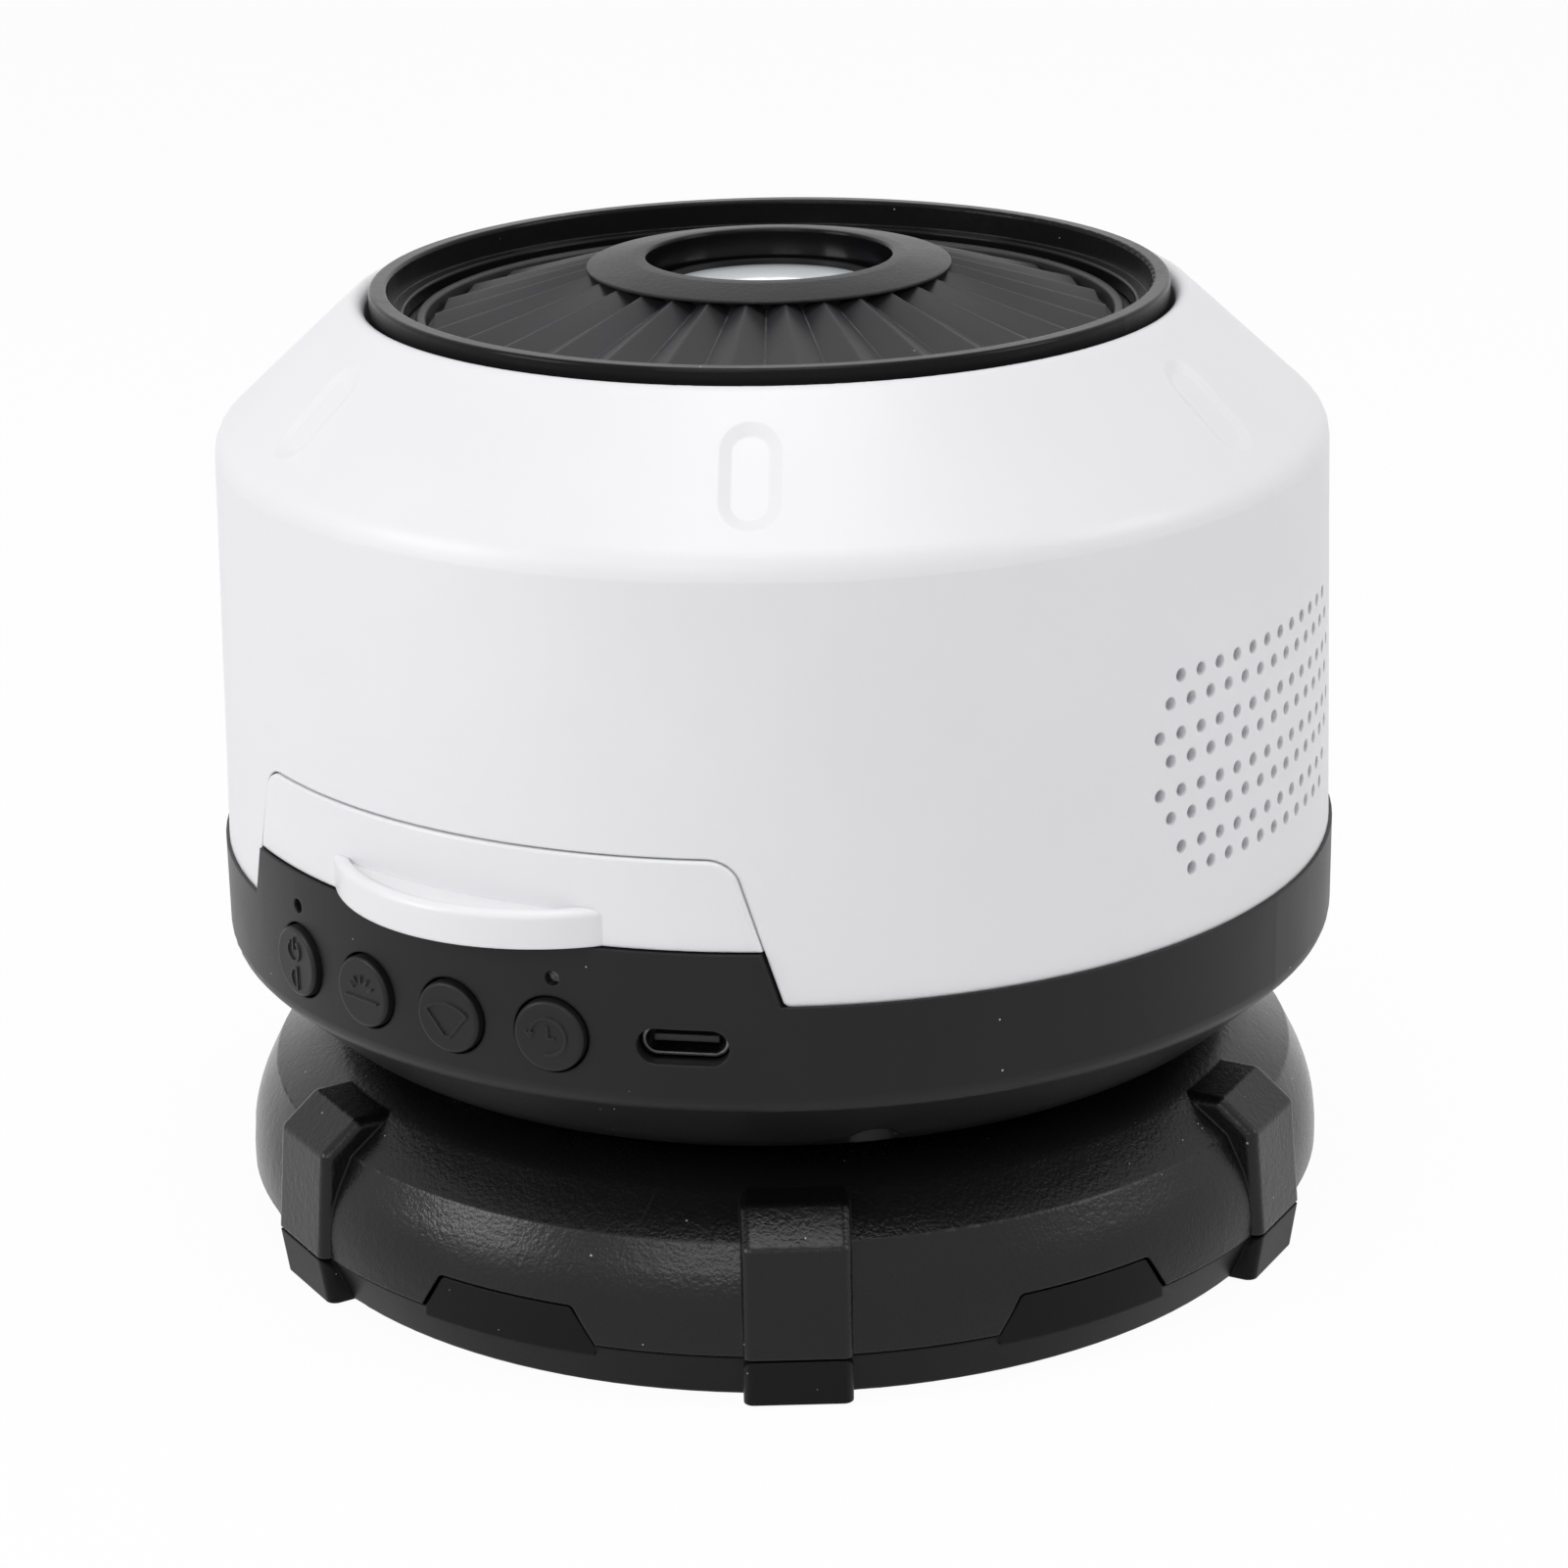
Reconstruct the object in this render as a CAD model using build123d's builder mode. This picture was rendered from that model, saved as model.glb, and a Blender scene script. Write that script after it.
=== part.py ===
from build123d import *

# Planetarium projector: a head that swivels on a round ballasted base.  The head holds
# a lamp, a film tray that slides out at the front, and a lens that a pleated focus dial
# raises and lowers.
#
# Millimetres, +Z up.  The origin is on the swivel axis, in the surface that the rubber
# pads stand on.  Tray and buttons face -Y.  An azimuth is measured from -Y towards +X.

import os
from math import cos, pi, radians, sin, tan

os.makedirs("parts", exist_ok=True)

# ---- clearances -----------------------------------------------------------------------
running_play = 0.05      # radial play of a turning or sliding fit
open_play = 0.3          # play between moving pieces that don't guide each other
seam = 0.3               # visible joint line between two mouldings
screw_play = 0.1         # radial play of a screw in its hole

# ---- walls and small mouldings --------------------------------------------------------
wall = 2.2               # every casing
edge_round = 0.5         # softened outer edges
boss_radius = 3.4        # screw posts in the casings

# ---- overall --------------------------------------------------------------------------
band_radius = 62.9       # black band round the head
base_setback = 1.0       # base's plain wall stands in from the band

# ---- base -----------------------------------------------------------------------------
base_step = 0.3          # lower shell stands back by this
base_taper = 2.2         # lower shell draws in by this towards the floor
pad_proud = 0.3          # rubber pads stand below the shell
parting_z = 5.6          # joint line of the two shells
tab_height = 4.1         # raised tabs of the lower shell
tab_half_top = 7.9
tab_half_bottom = 10.5
tab_round = 0.6
haunch_height = 5.4      # from the parting line to where the wall starts to lean
crease_height = 6.3      # from there to the crease
crease_inset = 3.15
base_slope = 36.5        # degrees of the roof above the crease
base_top_z = 22.4        # flat top under the head
rib_count = 6
rib_azimuth = 33.3
rib_width = 11.5
rib_proud = 0.8
rib_lean = 0.2           # rib draws in by this up to its knee
rib_knee_rise = 0.6      # knee above the crease
rib_knee_inset = 1.3
rib_end_drop = 1.2       # rib ends below the flat top
rib_round = 1.1
hub_wall = 4.0
haunch_round = 16.0
roof_round = 8.0
ballast_inner = 20.0
ballast_inset = 17.9     # ballast's edge in from the base's wall
ballast_height = 6.0
base_screw_inset = 11.9  # screws in from the base's wall
base_screw_count = 3
base_boss_pad = 2.0
base_screw_length = 10.0
pad_radius = 5.0
pad_height = 1.5
pad_inset = 10.9         # pads in from the base's wall
glide_inner = 22.0
glide_outer = 34.0
glide_height = 1.0

# ---- head, lower casing ---------------------------------------------------------------
band_proud = 0.4         # band stands out from the white casing
band_height = 10.9
undercut_height = 11.0
undercut_angle = 42.3    # degrees from level
undercut_round = 18.0
tongue_height = 5.7      # front tongue above the band
joint_lip_height = 3.0
joint_lip_width = 1.6
kink_round = 2.5
sink_post_radius = 2.2
cradle_post_radius = 3.0
spigot_radius = 15.0     # swivel spigot under the head
spigot_bore = 11.0
spigot_length = 8.8
axial_play = 0.2
retainer_radius = 18.5
retainer_bore = 8.0
retainer_height = 2.0
retainer_screw_circle = 13.0
case_screw_inset = 8.7   # screws in from the band
case_screw_azimuth = 42.0
case_screw_count = 4
case_recess_radius = 2.6
case_seat_height = 9.6   # screw head seat above the underside of the head

# ---- head, upper casing ---------------------------------------------------------------
skirt_height = 45.6
skirt_draft = 1.1
shoulder_round = 4.0
cone_angle = 42.5        # degrees from level
notch_half_bottom = 33.7
notch_half_top = 29.2
notch_height = 15.6      # front cut-out above the skirt edge
notch_round = 3.2
notch_foot_round = 0.8    # casing's corners beside the tongue
door_gap = 0.2           # joint line round the tray's door
mark_count = 6
mark_azimuth = 30.0
mark_length = 12.7       # obround recesses in the cone
mark_width = 6.6
mark_floor_length = 9.8
mark_floor_width = 3.75
mark_depth = 0.5
mark_inset = 12.55       # centre from the opening, along the slope
grille_azimuth = 90.0
grille_pitch = 2.88      # degrees between holes of a row
grille_hole_radius = 0.7
grille_first_row = 7.7   # above the skirt edge
grille_near = 2.75       # between the two rows of a pair
grille_far = 3.4         # between pairs
grille_rows = (11, 12, 13, 14, 13, 14, 13, 12)

# ---- controls on the front ------------------------------------------------------------
control_drop = 4.25      # button centres below the top of the band
button_azimuths = (-22.0, -11.2, -0.4, 10.4)
button_radius = 3.9
button_proud = 0.8
button_travel = 0.8
button_flange = 1.1
button_flange_height = 0.8
button_length = 5.3
button_flange_lift = 0.9  # flange in front of the button's back
symbol_line = 0.25
symbol_height = 0.2
light_azimuths = (-22.1, 10.7)
light_radius = 0.8
light_rise = 1.9         # light holes above the top of the band
usb_azimuth = 23.1
usb_width = 8.94
usb_height = 3.26
usb_depth = 7.4
usb_sheet = 0.32
usb_tongue_width = 6.69
usb_tongue_height = 0.7
usb_recess = 2.0
usb_drop = 0.2           # below the buttons' centres
usb_play = 0.3

# ---- bezel and focus dial -------------------------------------------------------------
dial_radius = 38.9       # outside of the dial's rim
rim_width = 1.1
rim_gap = 1.2            # dark gap beside the dial's rim
opening_gap = 0.55       # between the bead and the casing
opening_round = 1.15
ledge_width = 1.5
ledge_height = 1.6
bead_width = 2.3
bead_drop = 0.1          # bead top below the cone's end
bead_round = 0.4
rim_round = 0.35
bezel_depth = 10.2       # flange below the cone's end
bezel_flange = 5.8
bezel_flange_height = 2.0
bezel_screw_count = 4
bezel_screw_azimuth = 0.0
bezel_boss_radius = 2.4
bezel_screw_inset = 2.4
ledge_drop = 2.85        # ledge below the bead top
rim_drop = 0.6           # dial rim below the ledge
dial_flange_height = 1.4
dial_flange_overlap = 2.0
web_height = 1.5
rim_groove = 0.3         # groove floor below the pleats' valleys
pleat_count = 30
pleat_azimuth = 1.2
pleat_outer = 36.9
pleat_outer_depth = 1.3
pleat_slope = 0.29       # rise per millimetre towards the axis
pleat_inner_depth = 0.75
pleat_start_drop = 0.3   # ridge ends below the rim
pleat_sheet = 1.6
collar_radius = 20.0
collar_edge = 0.35
collar_rise = 0.85
collar_land = 15.1
collar_land_rise = 0.1
collar_undercut = 1.7
lens_well = 13.5         # bore of the collar
hub_drop = 1.0           # dial hub below its rim

# ---- lens, guide tube and cam ---------------------------------------------------------
barrel_radius = 12.6
barrel_bore = 11.0
barrel_length = 24.9
barrel_drop = 3.2        # barrel top below the collar top, in the middle of its travel
guide_wall = 1.95
sleeve_wall = 1.95
sleeve_flange = 3.1
sleeve_screw_inset = 1.6
sleeve_flange_height = 1.8
lens_radius = 11.9
lens_edge = 1.8
lens_crown = 1.0
rear_lens_radius = 11.6
rear_lens_edge = 1.6
rear_lens_crown = 1.8
rear_seat_height = 3.4   # rear lens above the end of the barrel
lens_travel = 4.0
dial_turn = 90.0         # degrees of dial for the whole travel
pin_radius = 1.0
pin_count = 3
pin_azimuth = 20.0
pin_drop = 12.8          # pins below the top of the barrel
pin_root = 0.3           # pins start outside the barrel's bore
pin_end = 0.2            # and stop inside the sleeve's outside
cam_steps = 6
sleeve_length = 18.0
sleeve_screw_depth = 2.6
lens_sink = 0.6          # lens edge below the barrel's rim
tube_flange_radius = 21.5
tube_flange_height = 2.0
tube_screw_circle = 19.0

# ---- film tray and disc ---------------------------------------------------------------
tray_half_width = 29.3
tray_rise = 7.3          # tray plate's underside above the top of the band
tray_height = 2.0
tray_rear = 24.0
tray_window = 21.5
lip_height = 3.9
lip_half_width = 16.9
lip_reach = 5.0          # pull lip beyond the door
lip_edge = 1.2
lip_scoop = 0.4
lip_round = 0.8
disc_spigot_radius = 23.45
disc_spigot_height = 2.0
gear_module = 1.0
carrier_teeth = 54
pinion_teeth = 8
gear_backlash = 0.5
gear_addendum = 0.7
gear_dedendum = 1.05
carrier_height = 3.0
carrier_lift = 0.2
film_radius = 24.9
film_height = 0.8
tray_screw_x = 14.0
tray_screw_inset = 4.3   # screws in from the door
bracket_half_width = 20.0
bracket_depth = 5.0
bracket_height = 3.0

# ---- optics deck ----------------------------------------------------------------------
deck_inset = 16.9        # deck's edge in from the band
deck_height = 2.3
deck_rise = 7.6          # deck above the tray plate
deck_half_width = 33.0
rail_wall = 1.9
rail_lip = 1.3
rail_lip_height = 1.2
rail_front = -49.0
rail_rear = 23.0
leg_x = 37.0
leg_front_y = -27.0
leg_rear_y = 22.0
leg_radius = 3.4

# ---- lamp -----------------------------------------------------------------------------
sink_radius = 21.0
sink_base_height = 2.5
sink_rise = 9.9          # sink base above the inside floor
sink_fin_height = 8.0
sink_fin_thickness = 1.2
sink_fin_pitch = 3.4
sink_fin_count = 9
sink_fin_radius = 14.5
lamp_screw_circle = 18.7
lamp_board_radius = 10.0
lamp_board_height = 1.6
emitter_radius = 2.7
condenser_radius = 14.0
condenser_edge = 2.0
condenser_crown = 3.0
holder_wall = 1.6
holder_height = 12.6
holder_flange_height = 2.0
holder_seat_height = 6.5

# ---- electronics ----------------------------------------------------------------------
board_height = 1.6
board_inset = 6.3        # board's edge in from the band
board_inner = 25.0
board_half_angle = 72.0
switch_width = 6.0
switch_depth = 3.6
plunger_radius = 1.1
switch_gap = 0.15        # stem to plunger with the button pressed home
plunger_length = 1.6
chip_side = 7.0
chip_height = 1.1
cell_radius = 9.2
cell_length = 65.0
cell_inset = 4.4         # cell's far corner in from the band
cell_x = 2.0
cell_rise = 15.4         # cell axis above the inside floor
cell_wall = 1.2
cradle_half_width = 3.5
cradle_post_x = 18.0
cradle_height = 1.4
speaker_radius = 18.0
speaker_inset = 11.0     # speaker's face in from the white casing
speaker_flange_height = 1.5
speaker_rise = 18.6      # speaker axis above the skirt edge
gasket_height = 1.5
gasket_width = 2.2
basket_depth = 8.5
basket_radius = 14.0
cone_radius = 15.0
magnet_radius = 9.0
magnet_height = 5.0
basket_sheet = 0.7
cone_sheet = 0.4
cone_depth = 5.0
motor_radius = 6.0
motor_height = 21.0
motor_shaft_radius = 1.0

# ---- screws ---------------------------------------------------------------------------
small_screw = (0.8, 1.6, 1.0)      # shank radius, head radius, head height
case_screw = (1.1, 2.1, 1.4)
fine_screw = (0.7, 1.3, 0.9)
case_screw_length = 24.0
small_screw_length = 5.0

# ---- levels and radii that follow -----------------------------------------------------
base_radius = band_radius - base_setback         # upper shell, plain wall
ballast_outer = base_radius - ballast_inset
base_screw_circle = base_radius - base_screw_inset
pad_circle = base_radius - pad_inset
case_screw_circle = band_radius - case_screw_inset
board_radius = band_radius - board_inset
deck_radius = band_radius - deck_inset
shell_bottom_z = pad_proud
base_floor_z = shell_bottom_z + wall
lower_radius = base_radius - base_step
foot_radius = lower_radius - base_taper
haunch_z = parting_z + haunch_height
crease_z = haunch_z + crease_height
crease_radius = base_radius - crease_inset
roof_radius = crease_radius - (base_top_z - crease_z) / tan(radians(base_slope))
head_z = base_top_z + glide_height
head_floor_z = head_z + wall
kink_z = head_z + undercut_height
skirt_z = kink_z + band_height
skirt_radius = band_radius - band_proud
speaker_x = skirt_radius - speaker_inset
undercut_vertex = band_radius - undercut_height / tan(radians(undercut_angle))
shoulder_z = skirt_z + skirt_height
shoulder_radius = skirt_radius - skirt_draft
ledge_inner = dial_radius + rim_gap
ledge_outer = ledge_inner + ledge_width
bead_outer = ledge_outer + bead_width
opening_radius = bead_outer + opening_gap
opening_z = shoulder_z + (shoulder_radius - opening_radius) * tan(radians(cone_angle))
cone_wall = wall / cos(radians(cone_angle))     # wall measured straight down
bead_z = opening_z - bead_drop
bezel_flange_z = opening_z - bezel_depth
ledge_z = bead_z - ledge_drop
rim_z = ledge_z - rim_drop
hub_z = rim_z - hub_drop
pleat_outer_z = rim_z - pleat_start_drop
collar_edge_z = pleat_outer_z + (pleat_outer - collar_radius) * pleat_slope
collar_z = collar_edge_z + collar_edge + collar_rise + collar_land_rise
barrel_top_z = collar_z - barrel_drop
barrel_bottom_z = barrel_top_z - barrel_length
guide_bore = barrel_radius + running_play
guide_radius = guide_bore + guide_wall
sleeve_bore = guide_radius + running_play
sleeve_radius = sleeve_bore + sleeve_wall
sleeve_bottom_z = hub_z - sleeve_length
pin_z = barrel_top_z - pin_drop
spigot_bottom_z = head_z - spigot_length
control_z = skirt_z - control_drop
usb_z = control_z - usb_drop
board_top_z = usb_z - usb_height / 2
board_z = board_top_z - board_height
light_z = skirt_z + light_rise
tongue_z = skirt_z + tongue_height
notch_z = skirt_z + notch_height
notch_slope = (notch_half_bottom - notch_half_top) / notch_height
door_z = tongue_z + door_gap
door_radius = skirt_radius
tray_z = skirt_z + tray_rise
tray_top_z = tray_z + tray_height
carrier_z = tray_top_z + carrier_lift
film_z = carrier_z + carrier_height - film_height
deck_z = tray_top_z + deck_rise
deck_top_z = deck_z + deck_height
sink_z = head_floor_z + sink_rise
sink_top_z = sink_z + sink_base_height
cell_z = head_floor_z + cell_rise
cell_y = ((band_radius - cell_inset) ** 2 - (cell_length / 2 + cell_x) ** 2) ** 0.5 - cell_radius
speaker_z = skirt_z + speaker_rise
carrier_pitch_radius = gear_module * carrier_teeth / 2
pinion_pitch_radius = gear_module * pinion_teeth / 2
pinion_y = carrier_pitch_radius + pinion_pitch_radius
bezel_screw_circle = opening_radius + bezel_screw_inset
case_seat_z = head_z + case_seat_height
slot_width = 2 * (pin_radius + open_play)


# ---- placing and shaping --------------------------------------------------------------
def spot(azimuth, distance, height=0.0):
    """Point at an azimuth, a distance from the axis and a height."""
    turn = radians(azimuth)
    return (distance * sin(turn), -distance * cos(turn), height)


def circle_spots(count, azimuth, distance, height=0.0):
    """Evenly spaced points round the axis."""
    return [spot(azimuth + 360 * k / count, distance, height) for k in range(count)]


def facing(azimuth, distance, height):
    """Plane square to a radius of the object, normal outwards, its y upwards."""
    turn = radians(azimuth)
    return Plane(
        origin=spot(azimuth, distance, height),
        x_dir=(cos(turn), sin(turn), 0),
        z_dir=(sin(turn), -cos(turn), 0),
    )


def turned(corners, rounds=0, mode=Mode.ADD):
    """Revolve an outline of (radius, height) corners about the axis."""
    with BuildSketch(Plane.XZ) as outline:
        with BuildLine():
            FilletPolyline(*corners, radius=rounds, close=True)
        make_face()
    revolve(outline.sketch, axis=Axis.Z, mode=mode)


def tube(outer, inner, bottom, top, mode=Mode.ADD):
    """Upright ring round the axis."""
    turned([(inner, bottom), (outer, bottom), (outer, top), (inner, top)], mode=mode)


def posts(points, radius, height, mode=Mode.ADD):
    """Upright cylinders that stand on the given points."""
    with Locations(*points):
        Cylinder(radius, height, align=(Align.CENTER, Align.CENTER, Align.MIN), mode=mode)


def screws(points, size, length, up=True):
    """Cross-head screws; the underside of each head is at its point."""
    shank_radius, head_radius, head_height = size
    shank_side = Align.MIN if up else Align.MAX
    head_side = Align.MAX if up else Align.MIN
    slot = head_height * 0.55
    slot_z = -head_height if up else head_height
    with Locations(*points):
        Cylinder(shank_radius, length, align=(Align.CENTER, Align.CENTER, shank_side))
        Cylinder(head_radius, head_height, align=(Align.CENTER, Align.CENTER, head_side))
        with Locations((0, 0, slot_z)):
            Box(head_radius * 1.2, head_radius * 0.3, 2 * slot, mode=Mode.SUBTRACT)
            Box(head_radius * 0.3, head_radius * 1.2, 2 * slot, mode=Mode.SUBTRACT)


def keep(piece, name):
    """Label a finished piece and write its STEP file."""
    piece.part.label = name
    export_step(piece.part, f"parts/{name}.step")


# ---- base: shells, ballast, pads ------------------------------------------------------
rib_azimuths = [rib_azimuth + 360 * k / rib_count for k in range(rib_count)]
tab_azimuths = [azimuth + 180 / rib_count for azimuth in rib_azimuths]
base_seats = circle_spots(base_screw_count, rib_azimuth, base_screw_circle, base_floor_z)
pad_spots = [(0, 0)] + [spot(azimuth, pad_circle)[:2] for azimuth in tab_azimuths]
base_boss_z = base_floor_z + base_boss_pad
base_boss_height = base_top_z - wall - base_boss_z
hub_bore = spigot_radius + running_play
hub_bottom_z = spigot_bottom_z + axial_play


def tab_prisms(play):
    """Trapezoid blocks across the parting line, one between each two ribs."""
    with BuildPart() as prisms:
        for azimuth in tab_azimuths:
            with BuildSketch(facing(azimuth, base_radius - 2 * wall, parting_z)) as outline:
                with BuildLine():
                    FilletPolyline(
                        (-tab_half_bottom - play, -wall),
                        (tab_half_bottom + play, -wall),
                        (tab_half_bottom + play, play),
                        (tab_half_top + play, tab_height + play),
                        (-tab_half_top - play, tab_height + play),
                        (-tab_half_bottom - play, play),
                        radius=(0, 0, 0, tab_round + play, tab_round + play, 0),
                        close=True,
                    )
                make_face()
            extrude(outline.sketch, amount=4 * wall)
    return prisms.part


with BuildPart() as parting_tabs:
    tube(lower_radius, lower_radius - wall, parting_z - wall / 2, parting_z + tab_height)
    add(tab_prisms(0), mode=Mode.INTERSECT)


def outward_corners(rib):
    """Side edges of the rib's outer faces; the rib points along +X."""
    outer = rib.faces().filter_by(lambda face: face.normal_at().X + face.normal_at().Z > 0.5)
    return outer.edges().filter_by(lambda edge: abs(abs(edge.center().Y) - rib_width / 2) < 0.01)


with BuildPart() as rib_foot:
    with BuildSketch(Plane.XZ):
        with BuildLine():
            Polyline(
                (foot_radius - wall / 2, shell_bottom_z),
                (base_radius, shell_bottom_z),
                (base_radius + rib_proud, parting_z),
                (foot_radius - wall / 2, parting_z),
                close=True,
            )
        make_face()
    extrude(amount=rib_width / 2, both=True)
    fillet(outward_corners(rib_foot), rib_round)

with BuildPart() as rib_back:
    with BuildSketch(Plane.XZ):
        with BuildLine():
            FilletPolyline(
                (base_radius - wall / 2, parting_z + seam),
                (base_radius + rib_proud, parting_z + seam),
                (base_radius - rib_lean, crease_z + rib_knee_rise),
                (crease_radius - rib_knee_inset, base_top_z - rib_end_drop),
                (roof_radius + rib_knee_inset, base_top_z - rib_end_drop),
                (roof_radius + rib_knee_inset, base_top_z - wall),
                (crease_radius - wall / 2, crease_z - wall / 2),
                (base_radius - wall / 2, haunch_z),
                radius=(0, 0, rib_round, rib_round, 0, 0, 0, 0),
                close=True,
            )
        make_face()
    extrude(amount=rib_width / 2, both=True)
    fillet(outward_corners(rib_back), rib_round)

with BuildPart() as base_lower_shell:
    turned(
        [
            (0, shell_bottom_z),
            (foot_radius, shell_bottom_z),
            (lower_radius, parting_z),
            (lower_radius - wall, parting_z),
            (foot_radius - wall, base_floor_z),
            (0, base_floor_z),
        ],
        rounds=(0, edge_round, 0, 0, 0, 0),
    )
    add(parting_tabs.part)
    with PolarLocations(0, rib_count, start_angle=rib_azimuth - 90):
        add(rib_foot.part)
    posts(base_seats, boss_radius, base_boss_pad)
    with Locations(*base_seats):
        Cylinder(case_screw[0] + screw_play, 4 * wall, mode=Mode.SUBTRACT)
    with Locations(*circle_spots(base_screw_count, rib_azimuth, base_screw_circle)):
        Cylinder(
            case_screw[1] + open_play,
            base_floor_z,
            align=(Align.CENTER, Align.CENTER, Align.MIN),
            mode=Mode.SUBTRACT,
        )
    posts(pad_spots, pad_radius + screw_play, pad_height, mode=Mode.SUBTRACT)
keep(base_lower_shell, "base_lower_shell")

with BuildPart() as base_upper_shell:
    turned(
        [
            (base_radius, parting_z + seam),
            (base_radius, haunch_z),
            (crease_radius, crease_z),
            (roof_radius, base_top_z),
            (hub_bore, base_top_z),
            (hub_bore, hub_bottom_z),
            (hub_bore + hub_wall, hub_bottom_z),
            (hub_bore + hub_wall, base_top_z - wall),
            (roof_radius - wall / 2, base_top_z - wall),
            (crease_radius - wall, crease_z - wall / 2),
            (base_radius - wall, haunch_z),
            (base_radius - wall, parting_z + seam),
        ],
        rounds=(0, haunch_round, edge_round, roof_round, 0, 0, 0, 0, 0, 0, 0, 0),
    )
    add(tab_prisms(seam), mode=Mode.SUBTRACT)
    with PolarLocations(0, rib_count, start_angle=rib_azimuth - 90):
        add(rib_back.part)
    with Locations(*circle_spots(base_screw_count, rib_azimuth, base_screw_circle, base_boss_z)):
        Cylinder(boss_radius, base_boss_height, align=(Align.CENTER, Align.CENTER, Align.MIN))
        Cylinder(
            case_screw[0] + screw_play,
            base_screw_length,
            align=(Align.CENTER, Align.CENTER, Align.MIN),
            mode=Mode.SUBTRACT,
        )
keep(base_upper_shell, "base_upper_shell")

with BuildPart() as base_screws:
    screws(base_seats, case_screw, base_screw_length)
keep(base_screws, "base_screws")

with BuildPart() as foot_pads:
    posts(pad_spots, pad_radius, pad_height)
    fillet(foot_pads.edges().group_by(Axis.Z)[0], pad_proud / 2)
keep(foot_pads, "foot_pads")

with BuildPart() as ballast_plate:
    tube(ballast_outer, ballast_inner, base_floor_z, base_floor_z + ballast_height)
keep(ballast_plate, "ballast_plate")

with BuildPart() as glide_washer:
    tube(glide_outer, glide_inner, base_top_z, head_z)
keep(glide_washer, "glide_washer")

# ---- head: lower casing with its swivel ------------------------------------------------
case_spots = [
    spot(case_screw_azimuth + 360 * k / case_screw_count, case_screw_circle)[:2]
    for k in range(case_screw_count)
]
case_screw_spots = [(x, y, case_seat_z) for x, y in case_spots]
front_legs = [(-leg_x, leg_front_y), (leg_x, leg_front_y)]
rear_legs = [(-leg_x, leg_rear_y), (leg_x, leg_rear_y)]
lamp_spots = [spot(azimuth, lamp_screw_circle)[:2] for azimuth in (0, 120, 240)]
cradle_spots = [(cell_x - cradle_post_x, cell_y), (cell_x + cradle_post_x, cell_y)]
cradle_z = cell_z - cell_radius - cradle_height
slope_wall = wall / cos(radians(undercut_angle))      # undercut's wall measured straight down
undercut_tan = tan(radians(undercut_angle))
inner_vertex = band_radius - (undercut_height + slope_wall - wall) / undercut_tan
inner_kink_z = kink_z + slope_wall - wall * undercut_tan
lip_outer = skirt_radius - wall - screw_play
lip_inner = lip_outer - joint_lip_width


def front_prism(half_bottom, half_top, bottom, top, rounding=0):
    """Trapezoid block that runs forward from the axis."""
    with BuildPart() as prism:
        with BuildSketch(Plane.XZ) as outline:
            with BuildLine():
                FilletPolyline(
                    (-half_bottom, bottom),
                    (half_bottom, bottom),
                    (half_top, top),
                    (-half_top, top),
                    radius=(0, 0, rounding, rounding),
                    close=True,
                )
            make_face()
        extrude(outline.sketch, amount=2 * band_radius)
    return prism.part


def notch_half(z):
    """Half width of the front cut-out at a height."""
    return notch_half_bottom - notch_slope * (z - skirt_z)


with BuildPart() as front_tongue:
    tube(band_radius, band_radius - wall, inner_kink_z, tongue_z)
    add(
        front_prism(
            notch_half(inner_kink_z) - seam, notch_half(tongue_z) - seam, inner_kink_z, tongue_z
        ),
        mode=Mode.INTERSECT,
    )

with BuildPart() as joint_lip:
    turned(
        [
            (lip_inner, skirt_z - joint_lip_height),
            (band_radius - wall / 2, skirt_z - 2 * joint_lip_height),
            (band_radius - wall / 2, skirt_z),
            (lip_outer, skirt_z),
            (lip_outer, skirt_z + joint_lip_height),
            (lip_inner, skirt_z + joint_lip_height),
        ]
    )
    with Locations((0, -band_radius, skirt_z)):
        Box(2 * (notch_half_bottom + wall), 2 * band_radius, 6 * joint_lip_height, mode=Mode.SUBTRACT)
    with Locations((band_radius, 0, skirt_z)):
        Box(band_radius, 2 * speaker_radius, 6 * joint_lip_height, mode=Mode.SUBTRACT)

with BuildPart() as lower_cavity:
    turned(
        [
            (0, head_floor_z),
            (inner_vertex, head_floor_z),
            (band_radius - wall, inner_kink_z),
            (band_radius - wall, skirt_z + wall),
            (0, skirt_z + wall),
        ],
        rounds=(0, undercut_round - wall, 0, 0, 0),
    )
    for points, radius, top_z in (
        (case_spots, boss_radius, skirt_z),
        (front_legs, leg_radius, board_z),
        (rear_legs, leg_radius, board_top_z),
        (lamp_spots, sink_post_radius, sink_z),
        (cradle_spots, cradle_post_radius, cradle_z),
    ):
        posts([(x, y, head_z) for x, y in points], radius, top_z - head_z, mode=Mode.SUBTRACT)

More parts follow.
